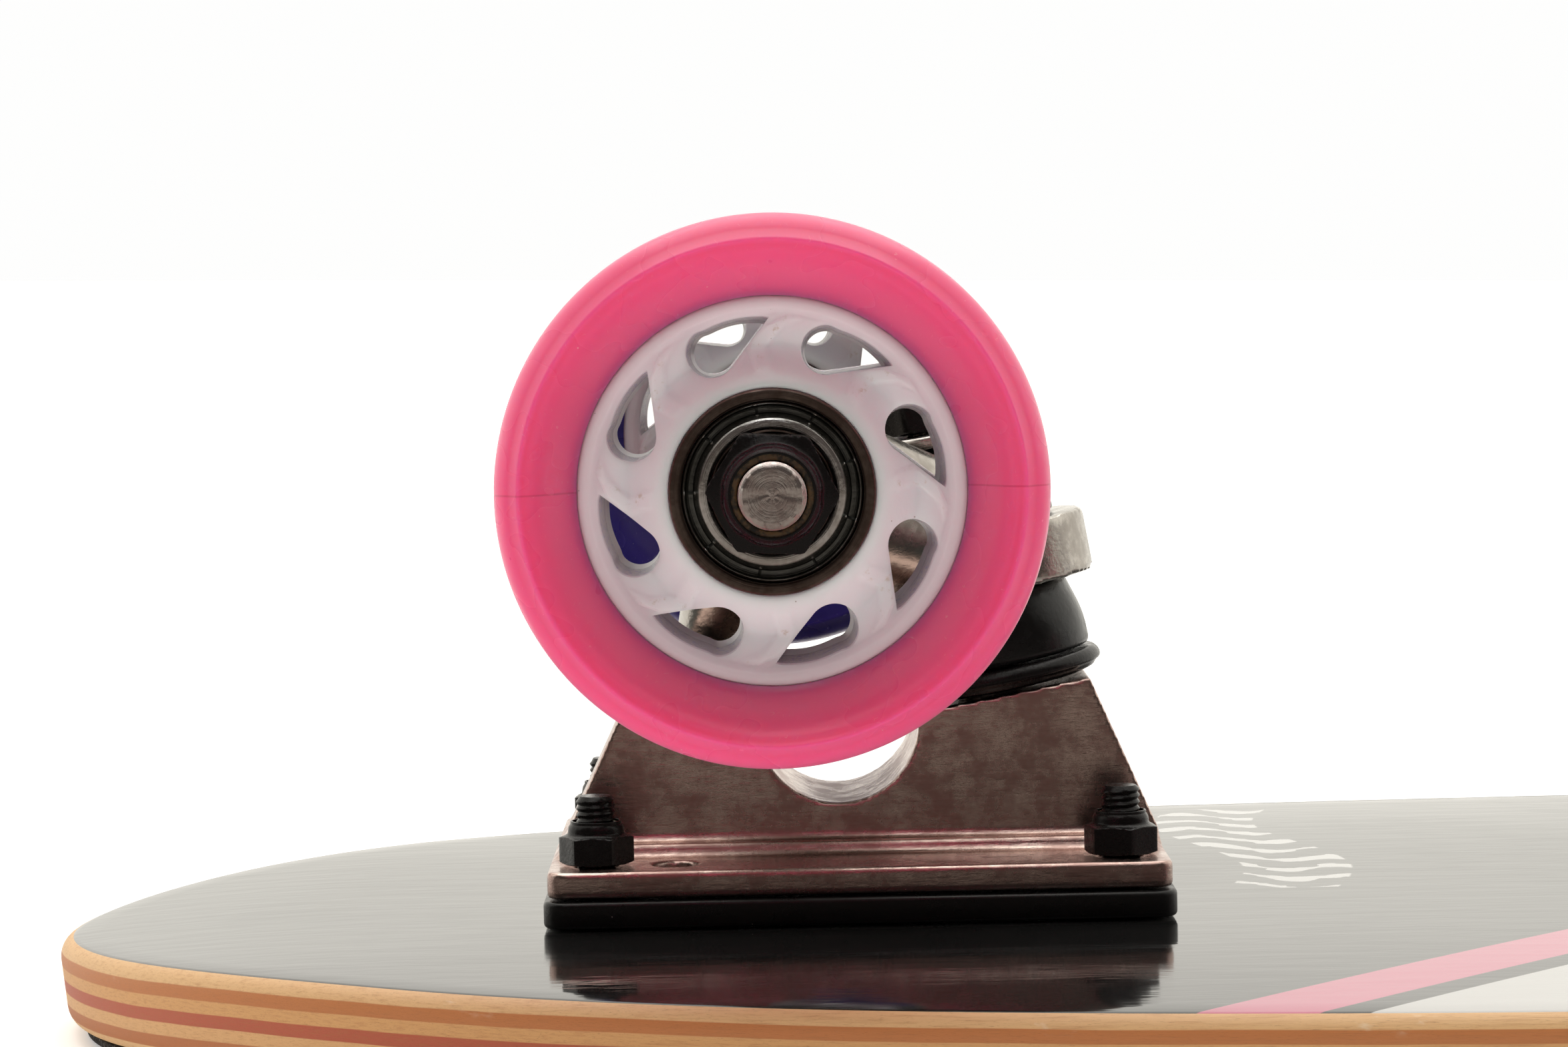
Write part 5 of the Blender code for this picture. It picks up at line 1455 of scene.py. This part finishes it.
@dataclass
class Hanger(Assembly):
    """The hanger and the axle in it, with the thin washers at its ends."""

    end: End = End.NOSE
    half: float = 0.0635

    def tube_ends(self, half_width: float, radius: float) -> Array:
        """Points around the two ends of a tube along the axle."""
        ends = [PLAN.axle + Vector((0, side * half_width, 0)) for side in (-1, 1)]
        return np.vstack([circle_points(point, Vector((0, 1, 0)), radius, 28) for point in ends])

    def build_casting(self) -> None:
        """Tube, gusset, ring, stem and ball in one."""
        pin, stem = PLAN.kingpin(), PLAN.stem()
        pin_axis = (pin.to_3x3() @ Vector((0, 0, 1))).normalized()
        stem_axis = (stem.to_3x3() @ Vector((0, 0, 1))).normalized()
        half, ring_half = self.half, STACK.ring
        tube = [
            (0, half),
            (0.0074, half),
            (0.0080, half - 0.0006),
            (0.0092, 0.020),
            (0.0092, -0.020),
            (0.0080, 0.0006 - half),
            (0.0074, -half),
            (0, -half),
        ]
        barrel = mesh_of(revolve(np.array(tube), 64).moved(PLAN.along_axle()), "tube")
        gusset = [circle_points(PLAN.ring + height * pin_axis, pin_axis, 0.0140, 40) for height in (-0.0035, 0.0035)]
        web = hull_mesh("gusset", np.vstack([*gusset, self.tube_ends(0.030, 0.0082)]))
        neck_top = PLAN.pivot + 0.0085 * stem_axis
        stem_hull = hull_mesh(
            "stem", np.vstack([circle_points(neck_top, stem_axis, 0.0042, 28), self.tube_ends(0.017, 0.0080)])
        )
        turns = np.radians(np.linspace(-90, 90, 24))
        ball = mesh_of(revolve(0.0046 * np.stack([np.cos(turns), np.sin(turns)], axis=1), 40).moved(stem), "ball")
        neck = mesh_of(rod_shell(0.0039, 0, 0.0105).moved(stem), "neck")
        sweep = 0.0102 + (STACK.lid + STACK.top_washer) * math.tan(math.radians(12)) + 0.0003
        skim = 0.00003
        above = mesh_of(rod_shell(sweep, ring_half - skim, 2 * STACK.tip).moved(pin), "above")
        below = mesh_of(rod_shell(0.0155, STACK.seat - 0.004, skim - ring_half).moved(pin), "below")
        ring = mesh_of(rod_shell(0.0150, -ring_half, ring_half, 96).moved(pin), "ring")
        bore = mesh_of(rod_shell(0.0075, -0.0156, 0.0156, 64).moved(pin), "bore")
        hole = mesh_of(rod_shell(0.00425, -0.127, 0.127, 48).moved(PLAN.along_axle()), "axle hole")
        bench = Workshop(barrel).combine("UNION", web, stem_hull, neck, ball, ring)
        bench.combine("DIFFERENCE", above, below, bore, hole)
        casting = cast(bench.taken(), 0.00055, 2)
        name = self.end.value
        self.piece(f"{name}_truck_casting", casting, HANGER, (f"{name}_hanger",), sharp_degrees=180)

    def build_axle(self) -> None:
        """The axle, threaded at both ends, its ends chamfered, and a thin washer inside each wheel."""
        radius, half, chamfer = 0.00395, 0.0963, 0.0008
        start = PLAN.wheel_y + 0.0237 / 2 - 0.001
        neck = radius - 0.00035
        face = subdivided(np.array([(0, half), (radius - chamfer, half), (neck, half - 0.0004), (neck, half - 0.0027)]), 0.0005)
        side = subdivided(np.array([(radius, half - 0.0028), (radius, start)]), 0.00014)
        upper = np.vstack([face, side])
        profile = np.vstack([upper, [(radius, 0.03), (radius, 0)], (upper * (1, -1))[::-1]])
        threads = [Thread(start, half - 0.0028, radius, 0.00106, 0.0003), Thread(0.0028 - half, -start, radius, 0.00106, 0.0003)]

        def shape(radii: Array, turns: Array, heights: Array) -> tuple[Array, Array]:
            """Both threads, and a slightly battered end face."""
            for thread in threads:
                radii, heights = thread(radii, turns, heights)
            battered = 0.00004 * np.sin(900 * radii * np.cos(turns) + 3 * turns) * np.cos(2100 * radii * np.sin(turns))
            return radii, heights - np.sign(heights) * np.abs(battered) * (np.abs(heights) > half - 1e-6)

        place = self.place @ PLAN.along_axle()
        name = self.end.value
        axle = mesh_of(revolve(profile, 72, shape=shape), "axle")
        self.piece(f"{name}_truck_rod", axle, AXLE, (f"{name}_axle",), place)
        washers = [ring_shell(radius + 0.0001, 0.0064, low, low + 0.0005, 0.00012) for low in (self.half + 0.00015, -self.half - 0.00065)]
        self.piece(f"{name}_truck_axle_washers", mesh_of(washers, "washers"), PLAIN_STEEL, (), place)

    def build(self) -> None:
        """The pieces that lean together."""
        self.build_casting()
        self.build_axle()


# ---------------------------------------------------------------- wheel


@dataclass
class Wheel(Assembly):
    """A wheel in its hub frame: Z outwards, X to the truck's own +X. Tyre, core, two bearings and the nut."""

    name: str = "nose_right"
    truck_body: str = "nose_truck"
    urethane: Urethane = PINK
    spokes: int = 8
    face: float = 0.0237 / 2
    web: float = 0.0085
    lip: float = 0.0099

    def build_tyre(self) -> None:
        """Side faces that dish in to the core, a soft crest, round shoulders, a flat tread."""
        dish = np.linspace(0, 1, 14)
        side = np.stack([0.02078 + 0.00542 * dish, self.lip - 0.0001 + 0.0052 * smooth(dish * 0.94 + 0.03) ** 0.9], axis=1)
        shoulder = np.radians(np.linspace(56, 0, 14))
        arc = np.stack([0.0255 + 0.0040 * np.cos(shoulder), 0.0108 + 0.0040 * np.sin(shoulder)], axis=1)
        crest = rounded(np.array([side[-1], (0.0268, 0.0154), arc[0]]), 0.0007, 6)
        upper = np.vstack([[(0.02125, self.lip - 0.0012), (0.0208, self.lip - 0.0005)], side, crest[1:-1], arc])
        tread = np.linspace((0.0295, 0.0100), (0.0295, 0), 8)
        half = np.vstack([upper, tread])
        profile = np.vstack([half, (half * (1, -1))[::-1][1:]])
        tyre = mesh_of(revolve(profile, 176, closed=True), "tyre")
        self.piece(f"{self.name}_wheel_tyre", tyre, self.urethane, (f"{self.name}_tyre",))

    def hole(self, count: int = 720) -> Array:
        """The teardrop's outline about its middle: a circle's arc drawn out to a tip, as (x, y)."""
        tip, centre_r, sweep, radius = 0.0186, 0.01605, math.radians(23), 0.0027
        centre = centre_r * np.array((math.cos(sweep), math.sin(sweep)))
        turns = np.radians(np.linspace(34, 233, 60))
        arc = centre + radius * np.stack([np.cos(turns), np.sin(turns)], axis=1)
        outer_turns = np.linspace(math.radians(1.2), sweep * 0.95, 14)
        bow = 0.00018 * np.sin(np.linspace(0, math.pi, 14))
        outer = (tip + bow)[:, None] * np.stack([np.cos(outer_turns), np.sin(outer_turns)], axis=1)
        nose = np.array([(tip - 0.00016, -0.00002)])
        loop = np.vstack([nose, outer, arc])
        lengths = np.concatenate([[0], np.cumsum(np.linalg.norm(np.diff(np.vstack([loop, loop[:1]]), axis=0), axis=1))])
        at = np.linspace(0, lengths[-1], count, endpoint=False)
        closed = np.vstack([loop, loop[:1]])
        return np.stack([np.interp(at, lengths, closed[:, k]) for k in (0, 1)], axis=1)

    def front(self, x: Array, y: Array) -> Array:
        """Height of the core's face: it falls from the bearing to the web, then rises to the lip; lobes on the spokes."""
        radius = np.hypot(x, y)
        fall = (self.face - 0.0002 - self.web) * (1 - smooth((radius - 0.0113) / 0.0046))
        slope = 0.0007 * np.clip((radius - 0.0155) / 0.0034, 0, 1)
        rise = (self.lip - self.web - 0.0007) * smooth((radius - 0.0186) / 0.0010)
        return self.web + fall + slope + rise + 0.00025 * self.lobe(x, y)

    def lobe(self, x: Array, y: Array) -> Array:
        """1 on the raised lobes that lie along the spokes, 0 elsewhere, by distance from a bent line."""
        pitch = 2 * math.pi / self.spokes
        radius = np.hypot(x, y)
        middle = np.interp(radius, (0.0130, 0.0153, 0.0175, 0.0184), np.radians((3.0, 5.0, -2.0, -8.0)))
        beside = radius * ((np.arctan2(y, x) - middle + pitch / 2) % pitch - pitch / 2)
        inside = smooth((radius - 0.0124) / 0.0010) * smooth((0.0189 - radius) / 0.0007)
        return smooth((0.00115 - np.abs(beside)) / 0.0004) * inside

    def sector(self, arc_steps: int, rows: int = 16) -> tuple[list[Shell], Array]:
        """One eighth of the web with its hole.

        Each face is ruled between the hole's outline and the sector's border, and the hole's wall is drawn in
        to a parting ridge half way through.

        Args:
            arc_steps: Cells along each arc of the border.
            rows: Cells between hole and border.

        Returns:
            The sector's surfaces, and the angles of the border's arcs.
        """
        inner, outer, first = 0.0113, 0.0195, math.radians(-5.7)
        angles = first + np.linspace(0, 2 * math.pi / self.spokes, arc_steps + 1)
        reach = np.linspace(inner, outer, 22)
        ray = lambda radii, turns: np.stack([radii * np.cos(turns), radii * np.sin(turns)], axis=1)
        border = np.vstack(
            [ray(outer, angles)[:-1], ray(reach[::-1], angles[-1])[:-1], ray(inner, angles[::-1])[:-1], ray(reach, angles[0])[:-1]]
        )
        outline = self.hole()
        middle = outline.mean(axis=0)
        polar = np.arctan2(*(outline - middle).T[::-1])
        order = np.argsort(polar)
        turns = np.concatenate([polar[order] - 2 * math.pi, polar[order], polar[order] + 2 * math.pi])
        radii = np.tile(np.linalg.norm(outline - middle, axis=1)[order], 3)
        towards = np.arctan2(*(border - middle).T[::-1])
        tip_turn = polar[np.argmax(np.linalg.norm(outline - middle, axis=1))]
        nearest = np.argmin(np.abs((towards - tip_turn + math.pi) % (2 * math.pi) - math.pi))
        towards[nearest] = tip_turn
        rim = middle + np.interp(towards, turns, radii)[:, None] * np.stack([np.cos(towards), np.sin(towards)], axis=1)
        shares = np.linspace(0, 1, rows)[:, None, None] ** 1.15
        flat = rim + shares * (border - rim)
        shells = []
        top = self.front(flat[..., 0], flat[..., 1])
        for sign in (1, -1):
            points = np.dstack([flat, sign * top])
            shells.append(grid_shell(points[:, ::sign], wrap_rows=False, wrap_columns=True))
        depth = np.concatenate([[0, 0.02, 0.05], np.linspace(0.12, 1, 12)])
        pull = np.concatenate([[0, 0.05, 0.10], np.linspace(0.16, 1, 12)])[:, None, None]
        inward = -0.0005 * middle / np.linalg.norm(middle)
        ridge = middle + 0.84 * (rim - middle) + inward
        wall = rim + pull * (ridge - rim)
        height = (1 - depth)[:, None] * top[0]
        upper = np.dstack([wall, height])
        whole = np.vstack([upper, (upper * (1, 1, -1))[-2::-1]])
        shells.append(grid_shell(whole[::-1], wrap_rows=False, wrap_columns=True))
        return shells, angles

    def build_core(self) -> None:
        """Boss with bearing seats, web with teardrop holes, rim with a bright lip."""
        arc_steps = 24
        shells, angles = self.sector(arc_steps)
        web = join(shells)
        eighths = [web.moved(turn(k * 360 / self.spokes, "Z")) for k in range(self.spokes)]
        seat, stop = 0.01105, self.face - 0.0073
        inner_top = self.front(np.array(0.0113), np.array(0.0))
        outer_top = self.front(np.array(0.0195), np.array(0.0))
        boss = np.array([(0.0113, inner_top), (0.01118, inner_top - 0.00006), (seat, inner_top - 0.0002), (seat, stop), (0.0090, stop)])
        rim = np.array(
            [
                (0.0195, outer_top),
                (0.0200, outer_top + 0.00010),
                (0.0203, outer_top + 0.00006),
                (0.0205, outer_top - 0.00004),
                (0.02066, outer_top - 0.00018),
                (0.02073, outer_top - 0.0004),
                (0.0211, 0.0085),
            ]
        )
        start = float(angles[0])
        steps = arc_steps * self.spokes
        mirror = lambda half: np.vstack([half, (half * (1, -1))[::-1]])
        bands = []
        for profile, flip in ((mirror(boss), 1), (mirror(rim), -1)):
            turns = start + np.linspace(0, 2 * math.pi, steps, endpoint=False)[None, :]
            points = np.dstack([profile[:, :1] * np.cos(turns), profile[:, :1] * np.sin(turns), profile[:, 1:2] + 0 * turns])
            bands.append(grid_shell(points[::flip], wrap_rows=False, wrap_columns=True))
        mesh = mesh_of([*eighths, *bands], "core")
        work = bmesh.new()
        work.from_mesh(mesh)
        bmesh.ops.recalc_face_normals(work, faces=work.faces)
        work.to_mesh(mesh)
        work.free()
        points = coordinates(mesh)
        radius = np.hypot(points[:, 0], points[:, 1])
        depth = np.abs(points[:, 2]) / np.maximum(self.front(points[:, 0], points[:, 1]), 1e-4)
        in_hole = (radius > 0.0128) & (radius < 0.0192)
        masks = {
            "wall": smooth((0.97 - depth) / 0.05) * smooth((depth - 0.30) / 0.2) * in_hole,
            "lobe": self.lobe(points[:, 0], points[:, 1]),
        }
        self.piece(f"{self.name}_wheel_core", mesh, CORE, (f"{self.name}_core",), masks=masks, sharp_degrees=42)

    def build_bearings(self) -> None:
        """Two ball bearings, each two ground rings and a shield between them held by a bent wire."""
        width, bore, outer = 0.0070, 0.00403, 0.0110
        far, near = self.face, self.face - width
        outer_ring = rounded(np.array([(0.0097, far), (outer, far), (outer, near), (0.0097, near)]), 0.0004, 5, loop=True)
        inner_ring = rounded(np.array([(bore, far), (0.0059, far), (0.0059, near), (bore, near)]), 0.0003, 5, loop=True)
        rings = [revolve(profile, 120, closed=True) for profile in (outer_ring, inner_ring)]
        shield = np.array(
            [
                (0.0061, far - 0.0014),
                (0.0064, far - 0.00055),
                (0.0070, far - 0.0003),
                (0.00775, far - 0.0004),
                (0.0080, far - 0.00075),
                (0.0083, far - 0.00115),
                (0.0084, far - 0.00150),
                (0.0090, far - 0.00150),
                (0.0092, far - 0.00130),
                (0.0093, far - 0.00070),
                (0.00945, far - 0.00050),
                (0.0096, far - 0.00070),
                (0.0096, far - 0.00240),
                (0.0061, far - 0.00240),
            ]
        )
        profile = subdivided(rounded(shield, 0.0002, 3, loop=True), 0.0005, loop=True)

        def tabs(radii: Array, turns: Array, heights: Array) -> tuple[Array, Array]:
            """Nine small radial tabs raised in the shield's groove."""
            beside = np.abs(((turns * 9 / (2 * math.pi)) % 1) - 0.5) * 2 * math.pi / 9
            on = smooth((0.020 - beside) / 0.008) * smooth((radii - 0.0082) / 0.0002) * smooth((0.0094 - radii) / 0.0002)
            return radii, heights + 0.0006 * on * (heights > far - 0.002)

        cover = revolve(profile, 324, closed=True, shape=tabs)
        for place_name, facing in (("outer", Matrix.Identity(4)), ("inner", turn(180, "X"))):
            place = self.place @ facing
            node = f"{self.name}_{place_name}_bearing"
            self.piece(f"{self.name}_wheel_{place_name}_races", mesh_of(rings, "races"), RACE, (node,), place)
            self.piece(f"{self.name}_wheel_{place_name}_shield", mesh_of(cover, "shield"), SHIELD, (), place)

    def build_nut(self) -> None:
        """The axle's lock nut, which rides on the truck."""
        height = 0.0071
        nut = LockNut(0.0124, height, 0.00425, 0.0047, facing=math.radians(27))
        ring = ring_shell(0.00368, 0.00465, height - 0.0014, height - 0.0003, 0.0003, 72)
        place = self.place @ shift(0, 0, self.face + 0.0003)
        rider = Assembly(self.truck_body, place)
        rider.piece(f"{self.name}_wheel_nut", mesh_of(nut.shell(144), "nut"), BLACK_STEEL, (f"{self.name}_axle_nut",))
        rider.piece(f"{self.name}_wheel_nut_nylon", mesh_of(ring, "nylon"), NYLON)

    def build(self) -> None:
        """The whole wheel."""
        self.build_tyre()
        self.build_core()
        self.build_bearings()
        self.build_nut()


# ---------------------------------------------------------------- studio


@dataclass
class Studio:
    """Floor, light and camera: a bright white sweep behind and above, a dimmer room on the camera's side."""

    sweep: Colour = (1.24, 1.20, 1.10)
    room: Colour = (0.075, 0.062, 0.056)
    backdrop: Colour = (0.99, 0.99, 0.985)

    def world(self) -> None:
        """Brightness by direction: bright over the sweep, dim towards the camera."""
        world = bpy.data.worlds.new("studio")
        world.use_nodes = True
        bpy.context.scene.world = world
        recipe = Recipe(world.node_tree)
        look = recipe.node("ShaderNodeTexCoord").outputs["Generated"]
        x, y, z = recipe.split(look)
        behind = recipe.ramp(recipe.math("ADD", y, recipe.math("MULTIPLY", z, 0.55)), -0.25, 0.35)
        seen = recipe.node("ShaderNodeLightPath").outputs["Is Camera Ray"]
        light = recipe.mix(behind, self.room, self.sweep)
        colour = recipe.mix(seen, light, self.backdrop)
        back = recipe.node("ShaderNodeBackground", {"Color": colour, "Strength": 1.0})
        recipe.node("ShaderNodeOutputWorld", {"Surface": back.outputs[0]})

    def floor(self) -> None:
        """A round white floor, with a painted glow and painted shade."""
        radii = np.array([0, 0.2, 0.5, 1, 2, 4, 8, 14.0])
        turns = np.linspace(0, 2 * math.pi, 64, endpoint=False)
        points = np.dstack([np.outer(radii, np.cos(turns)), np.outer(radii, np.sin(turns)), np.zeros((8, 64))])
        mesh = mesh_of(grid_shell(points, wrap_rows=False, wrap_columns=True), "floor")
        made = bpy.data.objects.new("floor", mesh)
        bpy.context.scene.collection.objects.link(made)
        mesh.materials.append(PaintedLightFloor("floor with painted glow and shade", "").material())

    def lamp(self, name: str, at: Colour, target: Colour, size: float, power: float, colour: Colour) -> None:
        """One square soft light."""
        data = bpy.data.lights.new(name, "AREA")
        data.shape, data.size, data.energy, data.color = "SQUARE", size, power, colour
        made = bpy.data.objects.new(name, data)
        made.location = at
        made.rotation_mode = "QUATERNION"
        made.rotation_quaternion = (Vector(target) - Vector(at)).to_track_quat("-Z", "Y")
        bpy.context.scene.collection.objects.link(made)

    def camera(self, axle: Vector) -> None:
        """Level with the top of the near wheel, square to the board, half a metre away."""
        data = bpy.data.cameras.new("camera")
        data.lens, data.sensor_width, data.clip_start = 104, 36, 0.01
        made = bpy.data.objects.new("camera", data)
        made.location = (axle.x, -0.566, axle.z + 0.0255)
        look = Vector((math.sin(math.radians(0.148)), 1, -math.tan(math.radians(3.45))))
        made.rotation_mode = "QUATERNION"
        made.rotation_quaternion = look.to_track_quat("-Z", "Y")
        bpy.context.scene.collection.objects.link(made)
        bpy.context.scene.camera = made

    def build(self, axle: Vector) -> None:
        """Everything around the object."""
        self.world()
        self.floor()
        self.lamp("overhead", (axle.x, 0.25, 1.1), (axle.x, 0, 0), 1.2, 6.5, (1.0, 0.98, 0.96))
        self.lamp("window", (axle.x - 0.1, -0.9, 1.2), (axle.x, 0, 0.06), 0.5, 1.2, (1.0, 0.97, 0.96))
        self.camera(axle)
        bpy.context.scene.view_settings.view_transform = "Standard"


@dataclass(frozen=True)
class PaintedLightFloor(Finish):
    """The floor: even white, with a painted glow, and painted shade on the camera's side that reflections see."""

    def write(self, recipe: Recipe, shader: bpy.types.Node) -> None:
        """White with a trace of unevenness, a painted glow, and painted shade towards the camera's side."""
        place = recipe.node("ShaderNodeTexCoord").outputs["Object"]
        tone = recipe.noise(place, 3.0, 3.0)
        colour = recipe.mix(recipe.ramp(tone, 0.3, 0.7), (0.90, 0.90, 0.89), (0.86, 0.86, 0.85))
        _, across, _ = recipe.split(place)
        path = recipe.node("ShaderNodeLightPath").outputs
        spread = recipe.math("MAXIMUM", path["Is Camera Ray"], path["Is Diffuse Ray"])
        # Painted shade: rays other than camera and diffuse rays see the floor dark grey on the camera's side, standing
        # in for a dim room in reflections.
        pale = recipe.math("MAXIMUM", spread, recipe.ramp(across, -0.10, 0.10))
        shade = recipe.mix(pale, (0.24, 0.215, 0.20), colour)
        # Painted glow: the floor gives off light to camera and diffuse rays, though it is no lamp.
        glow = recipe.mix(spread, (0.0, 0.0, 0.0), (0.36, 0.355, 0.35))
        inputs = {"Base Color": shade, "Roughness": 0.6, "Specular IOR Level": 0.2}
        recipe.feed(shader, {**inputs, "Emission Color": glow, "Emission Strength": 1.0})


def build_skateboard() -> Vector:
    """Builds every group of pieces and returns the nose axle's middle."""
    board = board_frame()
    trucks = {end: PLAN.frame_of(end, board) for end in End}
    Deck("board", board).build(trucks.values())
    for end, place in trucks.items():
        sides = (Side.RIGHT, Side.LEFT) if end is End.NOSE else (Side.LEFT, Side.RIGHT)
        TruckBase("board", place, end, sides).build()
        Hanger(f"{end.value}_truck", place, end).build()
        for side, own_side in zip(sides, (-1, 1)):
            hub = shift(PLAN.axle.x, own_side * PLAN.wheel_y, PLAN.axle.z) @ turn(-90 * own_side, "X")
            name = f"{end.value}_{side.value}"
            urethane = PINK if side is Side.RIGHT else VIOLET
            Wheel(f"{name}_wheel", place @ hub, name, f"{end.value}_truck", urethane).build()
    return trucks[End.NOSE] @ PLAN.axle


def main() -> None:
    """Builds the object and its surroundings."""
    logging.basicConfig(level=logging.INFO, format="%(message)s")
    axle = build_skateboard()
    Studio().build(axle)


if __name__ == "__main__":
    main()
